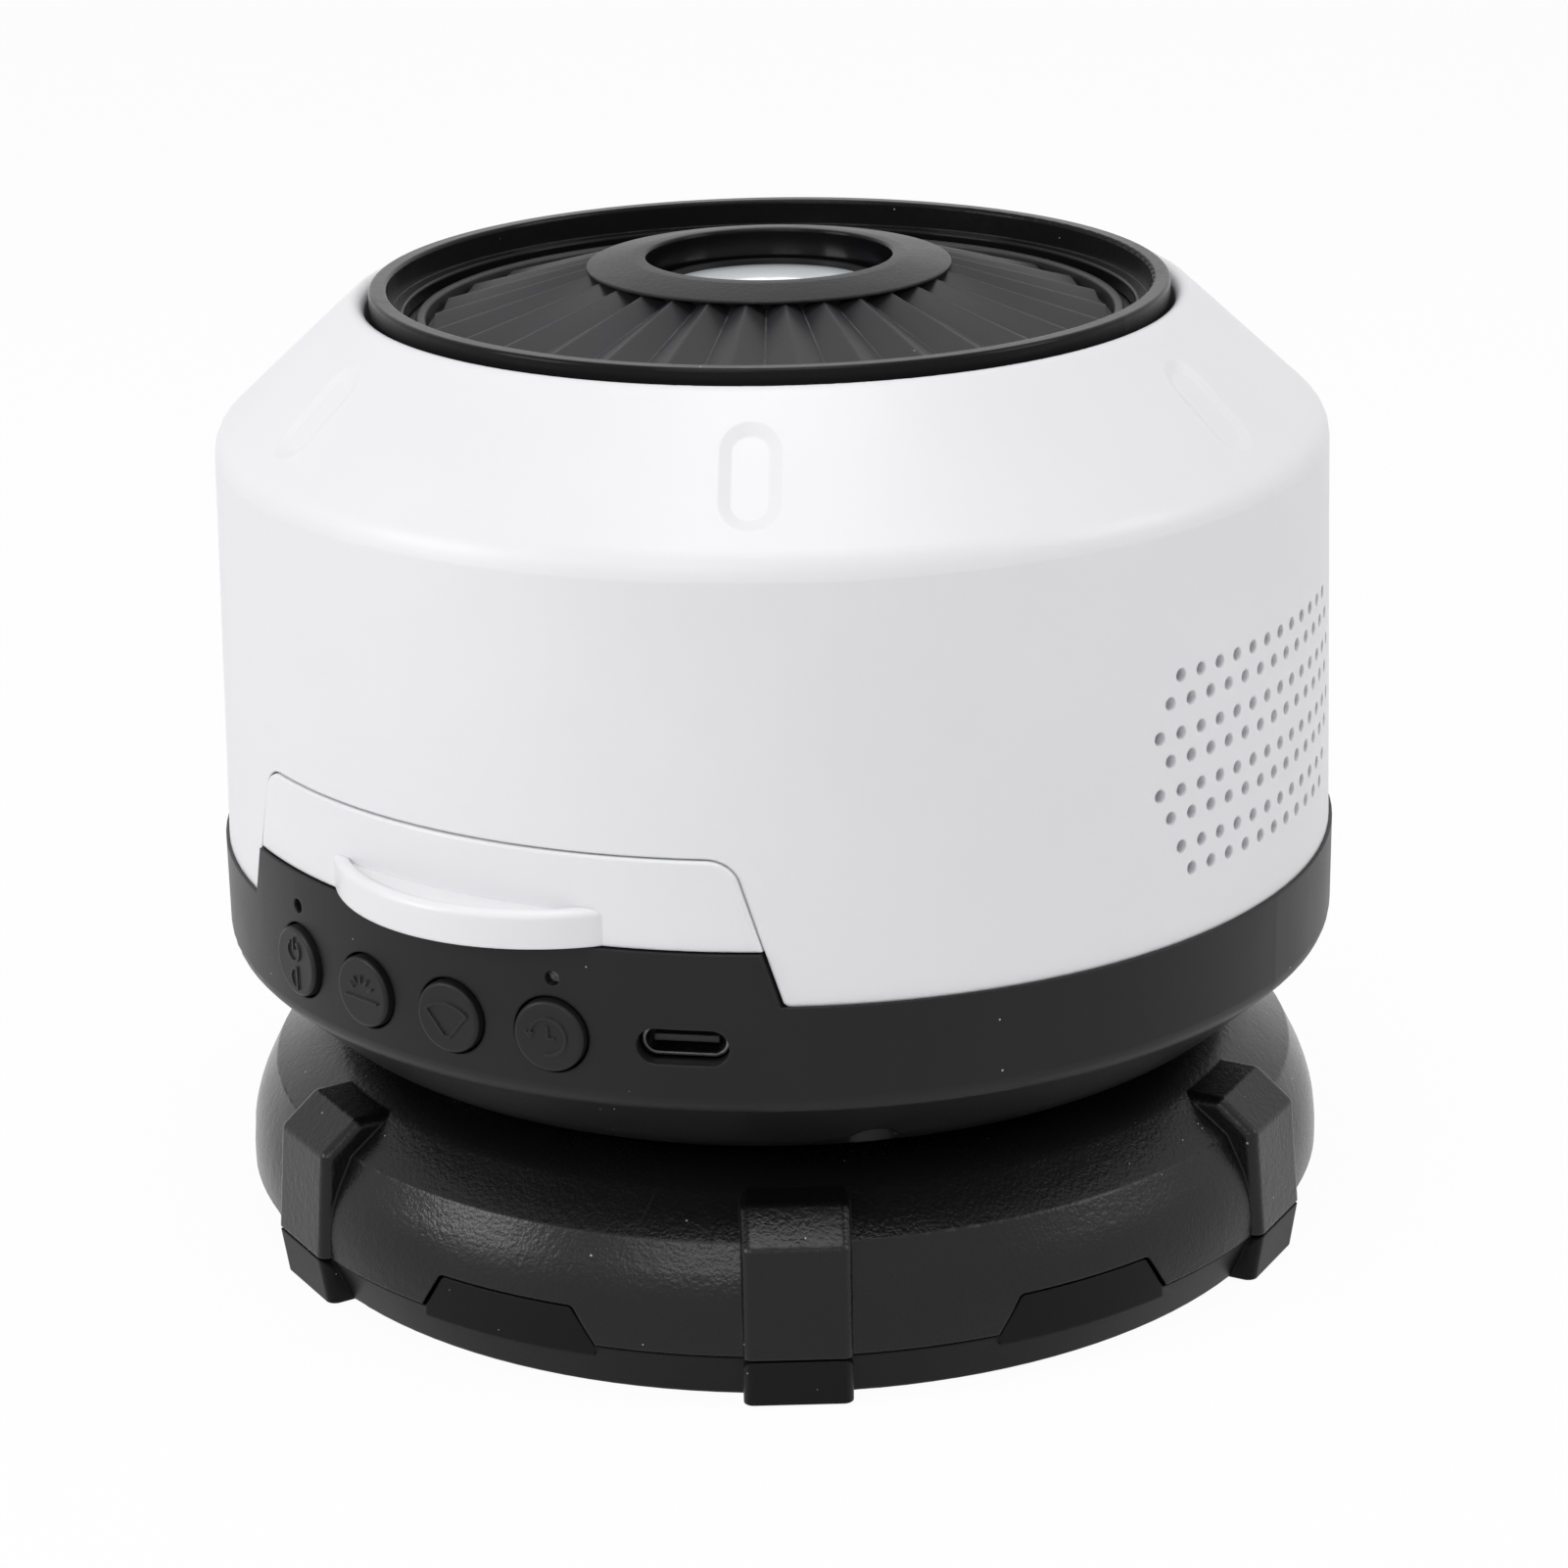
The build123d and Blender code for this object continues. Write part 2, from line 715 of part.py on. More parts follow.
with BuildPart() as lower_casing:
    turned(
        [
            (0, head_z),
            (spigot_bore, head_z),
            (spigot_bore, spigot_bottom_z),
            (spigot_radius, spigot_bottom_z),
            (spigot_radius, head_z),
            (undercut_vertex, head_z),
            (band_radius, kink_z),
            (band_radius, skirt_z),
            (0, skirt_z),
        ],
        rounds=(0, 0, 0, 0, 0, undercut_round, kink_round, 0, 0),
    )
    add(lower_cavity.part, mode=Mode.SUBTRACT)
    add(front_tongue.part)
    add(joint_lip.part)
    with Locations(*case_screw_spots):
        Cylinder(case_screw[0] + screw_play, skirt_height, mode=Mode.SUBTRACT)
        Cylinder(
            case_recess_radius,
            undercut_height,
            align=(Align.CENTER, Align.CENTER, Align.MAX),
            mode=Mode.SUBTRACT,
        )
    with Locations(*[(x, y, board_z) for x, y in front_legs + rear_legs]):
        Cylinder(small_screw[0] + screw_play, 2 * small_screw_length, mode=Mode.SUBTRACT)
    with Locations(*[(x, y, sink_z) for x, y in lamp_spots]):
        Cylinder(small_screw[0] + screw_play, 2 * small_screw_length, mode=Mode.SUBTRACT)
    with Locations(*circle_spots(3, 0, retainer_screw_circle, spigot_bottom_z)):
        Cylinder(small_screw[0] + screw_play, 2 * small_screw_length, mode=Mode.SUBTRACT)
    for azimuth in button_azimuths:
        with Locations(facing(azimuth, band_radius, control_z)):
            Cylinder(button_radius + open_play, 4 * wall, mode=Mode.SUBTRACT)
    for azimuth in light_azimuths:
        with Locations(facing(azimuth, band_radius, light_z)):
            Cylinder(light_radius, 4 * wall, mode=Mode.SUBTRACT)
    with BuildSketch(facing(usb_azimuth, band_radius - 2 * wall, usb_z)) as usb_slot:
        SlotOverall(usb_width + 2 * usb_play, usb_height + 2 * usb_play)
    extrude(usb_slot.sketch, amount=4 * wall, mode=Mode.SUBTRACT)
keep(lower_casing, "lower_casing")

retainer_z = spigot_bottom_z - retainer_height
retainer_spots = circle_spots(3, 0, retainer_screw_circle, retainer_z)

with BuildPart() as swivel_retainer:
    tube(retainer_radius, retainer_bore, retainer_z, spigot_bottom_z)
    posts(retainer_spots, small_screw[0] + screw_play, retainer_height, mode=Mode.SUBTRACT)
keep(swivel_retainer, "swivel_retainer")

with BuildPart() as retainer_screws:
    screws(retainer_spots, small_screw, small_screw_length)
keep(retainer_screws, "retainer_screws")

# ---- head: upper casing ---------------------------------------------------------------
cone_tan = tan(radians(cone_angle))
inner_shoulder_z = shoulder_z - cone_wall + wall * cone_tan
collar_root = opening_radius + wall
inner_cone_z = shoulder_z - cone_wall + (shoulder_radius - collar_root) * cone_tan
bezel_screw_spots = circle_spots(
    bezel_screw_count, bezel_screw_azimuth, bezel_screw_circle, bezel_flange_z
)
speaker_front = speaker_x + gasket_height

with BuildPart() as upper_cavity:
    turned(
        [
            (0, skirt_z - wall),
            (skirt_radius - wall, skirt_z - wall),
            (skirt_radius - wall, skirt_z),
            (shoulder_radius - wall, inner_shoulder_z),
            (collar_root, inner_cone_z),
            (collar_root, bezel_flange_z),
            (0, bezel_flange_z),
        ],
        rounds=(0, 0, 0, shoulder_round - wall, 0, 0, 0),
    )
    posts([(x, y, skirt_z) for x, y in case_spots], boss_radius, opening_z - skirt_z, mode=Mode.SUBTRACT)
    posts(bezel_screw_spots, bezel_boss_radius, bezel_depth, mode=Mode.SUBTRACT)
    with BuildSketch(facing(grille_azimuth, speaker_front, speaker_z)) as ring:
        Circle(speaker_radius)
        Circle(speaker_radius - gasket_width, mode=Mode.SUBTRACT)
    extrude(ring.sketch, amount=skirt_radius - speaker_front, mode=Mode.SUBTRACT)


def at_notch_foot(edge):
    """True for the casing's two lower corners beside the front cut-out."""
    middle = edge.center()
    return (
        middle.Y < 0
        and abs(middle.Z - skirt_z) < seam
        and abs(abs(middle.X) - notch_half_bottom) < seam
        and edge.length < 2 * wall
    )


with BuildPart() as upper_casing:
    turned(
        [
            (0, skirt_z),
            (skirt_radius, skirt_z),
            (shoulder_radius, shoulder_z),
            (opening_radius - wall, opening_z + wall * cone_tan),
            (0, opening_z + wall * cone_tan),
        ],
        rounds=(0, 0, shoulder_round, 0, 0),
    )
    add(upper_cavity.part, mode=Mode.SUBTRACT)
    tube(opening_radius, 0, bezel_flange_z - wall, opening_z + 2 * wall, mode=Mode.SUBTRACT)
    fillet(upper_casing.edges().filter_by(GeomType.CIRCLE).sort_by(Axis.Z)[-1], opening_round)
    add(
        front_prism(notch_half(skirt_z - wall), notch_half_top, skirt_z - wall, notch_z, notch_round),
        mode=Mode.SUBTRACT,
    )
    fillet(upper_casing.edges().filter_by(at_notch_foot), notch_foot_round)
    with Locations(*[(x, y, skirt_z) for x, y in case_spots]):
        Cylinder(case_screw[0] + screw_play, case_screw_length, mode=Mode.SUBTRACT)
    with Locations(*bezel_screw_spots):
        Cylinder(small_screw[0] + screw_play, 2 * small_screw_length, mode=Mode.SUBTRACT)

mark_radius = opening_radius + mark_inset * cos(radians(cone_angle))
mark_z = opening_z - mark_inset * sin(radians(cone_angle))


def mark_plane(azimuth, depth):
    """Plane on the cone, x down the slope, normal out of the cone."""
    turn = radians(azimuth)
    tilt = radians(cone_angle)
    normal = Vector(sin(tilt) * sin(turn), -sin(tilt) * cos(turn), cos(tilt))
    down = Vector(cos(tilt) * sin(turn), -cos(tilt) * cos(turn), -sin(tilt))
    centre = Vector(*spot(azimuth, mark_radius, mark_z)) - normal * depth
    return Plane(origin=centre, x_dir=down, z_dir=normal)


mark_grow_length = (mark_length - mark_floor_length) * seam / mark_depth
mark_grow_width = (mark_width - mark_floor_width) * seam / mark_depth

with BuildPart() as cone_marks:
    for k in range(mark_count):
        azimuth = mark_azimuth + 360 * k / mark_count
        with BuildSketch(mark_plane(azimuth, -seam)) as mouth:
            SlotOverall(mark_length + mark_grow_length, mark_width + mark_grow_width)
        with BuildSketch(mark_plane(azimuth, mark_depth)) as floor:
            SlotOverall(mark_floor_length, mark_floor_width)
        loft([mouth.sketch, floor.sketch])

grille_holes = []
row_z = skirt_z + grille_first_row
for row, holes in enumerate(grille_rows):
    for k in range(holes):
        azimuth = grille_azimuth + grille_pitch * (k - (holes - 1) / 2)
        grille_holes.append(facing(azimuth, skirt_radius, row_z))
    row_z += grille_near if row % 2 == 0 else grille_far

with upper_casing:
    add(cone_marks.part, mode=Mode.SUBTRACT)
    with Locations(*grille_holes):
        Cylinder(grille_hole_radius, 6 * wall, mode=Mode.SUBTRACT)
keep(upper_casing, "upper_casing")

with BuildPart() as case_screws:
    screws(case_screw_spots, case_screw, case_screw_length)
keep(case_screws, "case_screws")

# ---- head: bezel ----------------------------------------------------------------------
ledge_bottom_z = ledge_z - ledge_height
dial_flange_radius = ledge_inner + dial_flange_overlap
bezel_bore = dial_flange_radius + open_play
bezel_bottom_z = bezel_flange_z - bezel_flange_height

with BuildPart() as bezel_ring:
    turned(
        [
            (bezel_bore, bezel_bottom_z),
            (bead_outer + bezel_flange, bezel_bottom_z),
            (bead_outer + bezel_flange, bezel_flange_z),
            (bead_outer, bezel_flange_z),
            (bead_outer, bead_z),
            (ledge_outer + seam, bead_z),
            (ledge_outer, ledge_z),
            (ledge_inner, ledge_z),
            (ledge_inner, ledge_bottom_z),
            (bezel_bore, ledge_bottom_z),
        ],
        rounds=(0, 0, 0, 0, bead_round, bead_round, 0, seam, 0, 0),
    )
    with Locations(*bezel_screw_spots):
        Cylinder(small_screw[0] + screw_play, 3 * bezel_flange_height, mode=Mode.SUBTRACT)
keep(bezel_ring, "bezel_ring")

with BuildPart() as bezel_screws:
    screws(
        circle_spots(bezel_screw_count, bezel_screw_azimuth, bezel_screw_circle, bezel_bottom_z),
        small_screw,
        small_screw_length,
    )
keep(bezel_screws, "bezel_screws")

# ---- focus dial and its cam sleeve -----------------------------------------------------
dial_flange_z = ledge_bottom_z - open_play
valley_outer_z = pleat_outer_z - pleat_outer_depth
groove_z = valley_outer_z - rim_groove
web_z = groove_z - web_height
pleat_inner = collar_radius - collar_undercut - 1.0
pleat_inner_z = pleat_outer_z + (pleat_outer - pleat_inner) * pleat_slope
valley_inner_z = pleat_inner_z - pleat_inner_depth
sleeve_flange_radius = sleeve_radius + sleeve_flange
half_pleat = radians(180 / pleat_count)

with BuildPart() as pleat:
    for distance, ridge_z, valley_z, under_z in (
        (pleat_inner, pleat_inner_z, valley_inner_z, valley_inner_z - pleat_sheet),
        (pleat_outer, pleat_outer_z, valley_outer_z, web_z),
    ):
        half = distance * tan(half_pleat)
        with BuildSketch(facing(pleat_azimuth, distance, 0)):
            with BuildLine():
                Polyline(
                    (-half, under_z),
                    (half, under_z),
                    (half, valley_z),
                    (0, ridge_z),
                    (-half, valley_z),
                    close=True,
                )
            make_face()
    loft(ruled=True)

with BuildPart() as focus_dial:
    with PolarLocations(0, pleat_count):
        add(pleat.part)
    turned(
        [
            (pleat_outer - wall, web_z),
            (dial_radius, web_z),
            (dial_radius, dial_flange_z - dial_flange_height),
            (dial_flange_radius, dial_flange_z - dial_flange_height),
            (dial_flange_radius, dial_flange_z),
            (dial_radius, dial_flange_z),
            (dial_radius, rim_z),
            (dial_radius - rim_width, rim_z),
            (dial_radius - rim_width, groove_z),
            (pleat_outer - wall, groove_z),
        ],
        rounds=(0, 0, 0, 0, 0, 0, rim_round, rim_round, 0, 0),
    )
    turned(
        [
            (lens_well, hub_z),
            (lens_well, collar_z),
            (collar_land, collar_z - collar_land_rise),
            (collar_radius, collar_edge_z + collar_edge),
            (collar_radius, collar_edge_z),
            (collar_radius - collar_undercut, collar_edge_z),
            (collar_radius - collar_undercut, valley_inner_z - pleat_sheet),
            (sleeve_flange_radius, valley_inner_z - 2 * pleat_sheet),
            (sleeve_flange_radius, hub_z),
        ],
        rounds=(0, rim_round, 0, 0, 0, 0, 0, 0, 0),
    )
    with Locations(*circle_spots(3, pin_azimuth, sleeve_radius + sleeve_screw_inset, hub_z)):
        Cylinder(
            fine_screw[0] + screw_play,
            sleeve_screw_depth,
            align=(Align.CENTER, Align.CENTER, Align.MIN),
            mode=Mode.SUBTRACT,
        )
keep(focus_dial, "focus_dial")

sleeve_mid = (sleeve_bore + sleeve_radius) / 2
cam_step = dial_turn / cam_steps
cam_rise = lens_travel / cam_steps
cam_lean = -cam_rise / (sleeve_mid * radians(cam_step))
sleeve_flange_z = hub_z - sleeve_flange_height

with BuildPart() as cam_sleeve:
    turned(
        [
            (sleeve_bore, sleeve_bottom_z),
            (sleeve_radius, sleeve_bottom_z),
            (sleeve_radius, sleeve_flange_z),
            (sleeve_flange_radius, sleeve_flange_z),
            (sleeve_flange_radius, hub_z),
            (sleeve_bore, hub_z),
        ]
    )
    for start in range(pin_count):
        for k in range(cam_steps):
            swing = (k + 0.5) * cam_step - dial_turn / 2
            azimuth = pin_azimuth + 360 * start / pin_count + swing
            height = pin_z - lens_travel * swing / dial_turn
            with BuildSketch(facing(azimuth, sleeve_bore - wall / 2, height)) as slot_piece:
                SlotCenterToCenter(
                    sleeve_mid * radians(cam_step),
                    slot_width,
                    rotation=cam_lean * 180 / pi,
                )
            extrude(slot_piece.sketch, amount=2 * wall, mode=Mode.SUBTRACT)
    with Locations(*circle_spots(3, pin_azimuth, sleeve_radius + sleeve_screw_inset, hub_z)):
        Cylinder(fine_screw[0] + screw_play, 3 * sleeve_flange_height, mode=Mode.SUBTRACT)
keep(cam_sleeve, "cam_sleeve")

with BuildPart() as sleeve_screws:
    screws(
        circle_spots(3, pin_azimuth, sleeve_radius + sleeve_screw_inset, sleeve_flange_z),
        fine_screw,
        sleeve_flange_height + sleeve_screw_depth - seam,
    )
keep(sleeve_screws, "sleeve_screws")

# ---- lens barrel in its guide tube -----------------------------------------------------
guide_top_z = hub_z - open_play
slot_height = lens_travel + slot_width
pin_azimuths = [pin_azimuth + 360 * k / pin_count for k in range(pin_count)]
guide_shoulder_z = sleeve_bottom_z - axial_play
tube_screw_spots = circle_spots(3, pin_azimuth, tube_screw_circle, deck_top_z + tube_flange_height)
front_seat_z = barrel_top_z - lens_edge - lens_sink
rear_seat_z = barrel_bottom_z + rear_seat_height

with BuildPart() as guide_tube:
    turned(
        [
            (guide_bore, deck_top_z),
            (tube_flange_radius, deck_top_z),
            (tube_flange_radius, deck_top_z + tube_flange_height),
            (sleeve_radius, deck_top_z + tube_flange_height),
            (sleeve_radius, guide_shoulder_z),
            (guide_radius, guide_shoulder_z),
            (guide_radius, guide_top_z),
            (guide_bore, guide_top_z),
        ]
    )
    for azimuth in pin_azimuths:
        with BuildSketch(facing(azimuth, guide_bore - wall / 2, pin_z)) as straight_slot:
            SlotOverall(slot_height, slot_width, rotation=90)
        extrude(straight_slot.sketch, amount=2 * wall, mode=Mode.SUBTRACT)
    with Locations(*tube_screw_spots):
        Cylinder(small_screw[0] + screw_play, 3 * tube_flange_height, mode=Mode.SUBTRACT)
keep(guide_tube, "guide_tube")

with BuildPart() as guide_screws:
    screws(tube_screw_spots, small_screw, tube_flange_height + deck_height, up=False)
keep(guide_screws, "guide_screws")

with BuildPart() as lens_barrel:
    turned(
        [
            (rear_lens_radius + running_play, barrel_bottom_z),
            (barrel_radius, barrel_bottom_z),
            (barrel_radius, barrel_top_z),
            (lens_radius + running_play, barrel_top_z),
            (lens_radius + running_play, front_seat_z),
            (barrel_bore, front_seat_z),
            (barrel_bore, rear_seat_z + rear_lens_edge),
            (rear_lens_radius + running_play, rear_seat_z + rear_lens_edge),
        ]
    )
    for azimuth in pin_azimuths:
        with Locations(facing(azimuth, barrel_radius, pin_z)):
            Cylinder(pin_radius, 2 * wall, mode=Mode.SUBTRACT)
keep(lens_barrel, "lens_barrel")


def lens(radius, edge, crown, bottom):
    """Lens with a flat underside and a domed top, on the axis."""
    top = bottom + edge
    mid = radius / 2
    curve = (radius**2 + crown**2) / (2 * crown)
    mid_z = top + crown - curve + (curve**2 - mid**2) ** 0.5
    with BuildSketch(Plane.XZ) as outline:
        with BuildLine():
            Polyline((0, top + crown), (0, bottom), (radius, bottom), (radius, top))
            ThreePointArc((radius, top), (mid, mid_z), (0, top + crown))
        make_face()
    revolve(outline.sketch, axis=Axis.Z)


with BuildPart() as front_lens:
    lens(lens_radius, lens_edge, lens_crown, front_seat_z)
keep(front_lens, "front_lens")

with BuildPart() as rear_lens:
    tube(rear_lens_radius, 0, rear_seat_z, rear_seat_z + rear_lens_edge)
    lens(barrel_bore - seam, rear_lens_edge, rear_lens_crown, rear_seat_z)
keep(rear_lens, "rear_lens")

with BuildPart() as lens_retaining_ring:
    tube(rear_lens_radius, rear_lens_radius - wall, barrel_bottom_z + seam, rear_seat_z)
keep(lens_retaining_ring, "lens_retaining_ring")

with BuildPart() as cam_pins:
    for azimuth in pin_azimuths:
        with Locations(facing(azimuth, barrel_bore + pin_root, pin_z)):
            Cylinder(
                pin_radius,
                sleeve_radius - pin_end - barrel_bore - pin_root,
                align=(Align.CENTER, Align.CENTER, Align.MIN),
            )
keep(cam_pins, "cam_pins")

# ---- optics deck with the tray's rails -------------------------------------------------
rail_x = tray_half_width + open_play
rail_bottom_z = tray_z - open_play - rail_lip_height
rail_length = rail_rear - rail_front
legs = front_legs + rear_legs

with BuildPart() as optics_deck:
    with BuildSketch(Plane.XY.offset(deck_z)):
        Circle(deck_radius)
        Rectangle(2 * deck_half_width, 2 * deck_radius, mode=Mode.INTERSECT)
        for x, y in legs:
            with Locations((x, y)):
                Circle(leg_radius)
            with Locations((x * deck_half_width / leg_x, y)):
                Rectangle(2 * (leg_x - deck_half_width), 2 * leg_radius)
        Circle(lens_well, mode=Mode.SUBTRACT)
        with Locations((0, pinion_y)):
            Circle(motor_shaft_radius + open_play, mode=Mode.SUBTRACT)
    extrude(amount=deck_height)
    with Locations(*[(x, y, board_top_z) for x, y in legs]):
        Cylinder(leg_radius, deck_z - board_top_z, align=(Align.CENTER, Align.CENTER, Align.MIN))
    for side in (-1, 1):
        with Locations((side * (rail_x + rail_wall / 2), rail_front, rail_bottom_z)):
            Box(
                rail_wall,
                rail_length,
                deck_z - rail_bottom_z,
                align=(Align.CENTER, Align.MIN, Align.MIN),
            )
        for lip_z in (rail_bottom_z, tray_top_z + open_play):
            with Locations((side * (rail_x - rail_lip / 2), rail_front, lip_z)):
                Box(rail_lip, rail_length, rail_lip_height, align=(Align.CENTER, Align.MIN, Align.MIN))
    with Locations(*[(x, y, deck_top_z) for x, y in legs]):
        Cylinder(small_screw[0] + screw_play, skirt_height + band_height, mode=Mode.SUBTRACT)
    with Locations(*circle_spots(3, pin_azimuth, tube_screw_circle, deck_top_z)):
        Cylinder(small_screw[0] + screw_play, 3 * deck_height, mode=Mode.SUBTRACT)
keep(optics_deck, "optics_deck")

with BuildPart() as deck_screws:
    screws(
        [(x, y, deck_top_z) for x, y in legs],
        small_screw,
        deck_top_z - board_z + small_screw_length - seam,
        up=False,
    )
keep(deck_screws, "deck_screws")

# ---- film tray ------------------------------------------------------------------------
door_inner = door_radius - wall
lip_base = (door_radius + door_inner) / 2
lip_tip = door_radius + lip_reach
lip_end_y = (door_radius**2 - lip_half_width**2) ** 0.5
tray_screw_y = tray_screw_inset - door_inner
tray_screw_spots = [(-tray_screw_x, tray_screw_y), (tray_screw_x, tray_screw_y)]

with BuildPart() as film_tray:
    with BuildSketch(Plane.XY.offset(tray_z)):
        Circle(door_inner)
        with Locations((0, tray_rear)):
            Rectangle(
                2 * tray_half_width,
                2 * door_radius,
                align=(Align.CENTER, Align.MAX),
                mode=Mode.INTERSECT,
            )
        Circle(tray_window, mode=Mode.SUBTRACT)
    extrude(amount=tray_height)
    tube(disc_spigot_radius, tray_window, tray_z, tray_top_z + disc_spigot_height)
    with Locations(*[(x, y, tray_z) for x, y in tray_screw_spots]):
        Cylinder(small_screw[0] + screw_play, 3 * tray_height, mode=Mode.SUBTRACT)
keep(film_tray, "film_tray")


def on_door_face(edge):
    """True for the upper edges of the door's outer face."""
    middle = edge.center()
    return middle.Z > tray_top_z + wall and Vector(middle.X, middle.Y, 0).length > door_inner + wall / 2


with BuildPart() as tray_door:
    tube(door_radius, door_inner, door_z, notch_z - door_gap)
    add(
        front_prism(
            notch_half(door_z) - door_gap,
            notch_half_top - door_gap + notch_slope * door_gap,
            door_z,
            notch_z - door_gap,
            notch_round - door_gap,
        ),
        mode=Mode.INTERSECT,
    )
    fillet(tray_door.edges().filter_by(on_door_face), seam)


def on_lip_front(edge):
    """True for the upper edge along the pull lip's front."""
    middle = edge @ 0.5
    return middle.Z > door_z + lip_height / 2 and middle.Y < -door_radius - lip_reach / 2


with BuildPart() as pull_lip:
    with BuildSketch(Plane.XY.offset(door_z)):
        with BuildLine():
            ThreePointArc((-lip_half_width, -lip_end_y), (0, -lip_tip), (lip_half_width, -lip_end_y))
            Line((lip_half_width, -lip_end_y), (lip_half_width, -lip_end_y + wall / 2))
            ThreePointArc(
                (lip_half_width, -lip_end_y + wall / 2),
                (0, -lip_base),
                (-lip_half_width, -lip_end_y + wall / 2),
            )
            Line((-lip_half_width, -lip_end_y + wall / 2), (-lip_half_width, -lip_end_y))
        make_face()
    extrude(amount=lip_height)
    fillet(pull_lip.edges().filter_by(on_lip_front), lip_round)

with BuildPart() as lip_scoop_cut:
    scoop_half = lip_half_width - 2 * lip_edge
    scoop_end_y = (door_radius**2 - scoop_half**2) ** 0.5
    with BuildSketch(Plane.XY.offset(door_z + lip_height - lip_scoop)):
        with BuildLine():
            ThreePointArc((-scoop_half, -scoop_end_y), (0, -lip_tip + lip_edge), (scoop_half, -scoop_end_y))
            ThreePointArc((scoop_half, -scoop_end_y), (0, -door_radius), (-scoop_half, -scoop_end_y))
        make_face()
    extrude(amount=2 * lip_scoop)

with BuildPart() as tray_front:
    add(tray_door.part)
    add(pull_lip.part)
    add(lip_scoop_cut.part, mode=Mode.SUBTRACT)
    with BuildSketch(Plane.XY.offset(tray_top_z)) as bracket:
        Circle(lip_base)
        with Locations((0, -door_inner + bracket_depth)):
            Rectangle(
                2 * bracket_half_width,
                2 * bracket_depth,
                align=(Align.CENTER, Align.MAX),
                mode=Mode.INTERSECT,
            )
    extrude(bracket.sketch, amount=bracket_height)
    with Locations(*[(x, y, tray_top_z) for x, y in tray_screw_spots]):
        Cylinder(
            small_screw[0] + screw_play,
            bracket_height - seam,
            align=(Align.CENTER, Align.CENTER, Align.MIN),
            mode=Mode.SUBTRACT,
        )
keep(tray_front, "tray_front")

with BuildPart() as tray_screws:
    screws(
        [(x, y, tray_z) for x, y in tray_screw_spots],
        fine_screw,
        tray_height + bracket_height - 2 * seam,
    )
keep(tray_screws, "tray_screws")


# ---- film disc, its carrier and drive --------------------------------------------------
def gear_face(teeth, first_tooth):
    """Spur gear outline; first_tooth is the direction of one tooth's middle, in degrees."""
    pitch_radius = gear_module * teeth / 2
    half = (pi * gear_module / 2 - gear_backlash) / 2
    flank = tan(radians(20))
    levels = (
        (pitch_radius - gear_dedendum, half + gear_dedendum * flank),
        (pitch_radius + gear_addendum, half - gear_addendum * flank),
    )
    corners = []
    for k in range(teeth):
        middle = radians(first_tooth + 360 * k / teeth)
        for side, (radius, offset) in ((-1, levels[0]), (-1, levels[1]), (1, levels[1]), (1, levels[0])):
            angle = middle + side * offset / radius
            corners.append((radius * cos(angle), radius * sin(angle)))
    with BuildSketch() as outline:
        with BuildLine():
            Polyline(*corners, close=True)
        make_face()
    return outline.sketch


with BuildPart() as disc_carrier:
    with BuildSketch(Plane.XY.offset(carrier_z)):
        add(gear_face(carrier_teeth, 90))
        Circle(disc_spigot_radius + running_play, mode=Mode.SUBTRACT)
    extrude(amount=carrier_height)
    tube(film_radius + screw_play, 0, film_z, film_z + wall, mode=Mode.SUBTRACT)
keep(disc_carrier, "disc_carrier")

with BuildPart() as film_disc:
    tube(film_radius, 0, film_z, film_z + film_height)
keep(film_disc, "film_disc")

with BuildPart() as drive_pinion:
    with BuildSketch(Plane.XY.offset(carrier_z)):
        with Locations((0, pinion_y)):
            add(gear_face(pinion_teeth, -90 + 180 / pinion_teeth))
            Circle(motor_shaft_radius, mode=Mode.SUBTRACT)
    extrude(amount=carrier_height)
keep(drive_pinion, "drive_pinion")

with BuildPart() as motor_shaft:
    with Locations((0, pinion_y, carrier_z)):
        Cylinder(
            motor_shaft_radius,
            deck_top_z + wall - carrier_z,
            align=(Align.CENTER, Align.CENTER, Align.MIN),
        )
keep(motor_shaft, "motor_shaft")

with BuildPart() as gear_motor:
    with Locations((0, pinion_y, deck_top_z)):
        Cylinder(motor_radius, motor_height, align=(Align.CENTER, Align.CENTER, Align.MIN))
        Cylinder(motor_shaft_radius + running_play, 2 * (wall + open_play), mode=Mode.SUBTRACT)
keep(gear_motor, "gear_motor")

# ---- lamp -----------------------------------------------------------------------------
holder_flange_z = sink_top_z + holder_flange_height
holder_seat_z = sink_top_z + holder_seat_height
holder_bore = condenser_radius + running_play

fin_rows = [(k - (sink_fin_count - 1) / 2) * sink_fin_pitch for k in range(sink_fin_count)]

with BuildPart() as heat_sink:
    with Locations(*[(0, y, sink_z) for y in fin_rows]):
        Box(
            2 * sink_fin_radius,
            sink_fin_thickness,
            sink_fin_height,
            align=(Align.CENTER, Align.CENTER, Align.MAX),
        )
    tube(sink_fin_radius, 0, sink_z - sink_fin_height, sink_z, mode=Mode.INTERSECT)
    tube(sink_radius, 0, sink_z, sink_top_z)
    with Locations(*[(x, y, sink_z) for x, y in lamp_spots]):
        Cylinder(small_screw[0] + screw_play, 3 * sink_base_height, mode=Mode.SUBTRACT)
keep(heat_sink, "heat_sink")

with BuildPart() as led_board:
    tube(lamp_board_radius, 0, sink_top_z, sink_top_z + lamp_board_height)
keep(led_board, "led_board")

with BuildPart() as led_emitter:
    lens(emitter_radius, emitter_radius / 3, emitter_radius * 0.8, sink_top_z + lamp_board_height)
keep(led_emitter, "led_emitter")

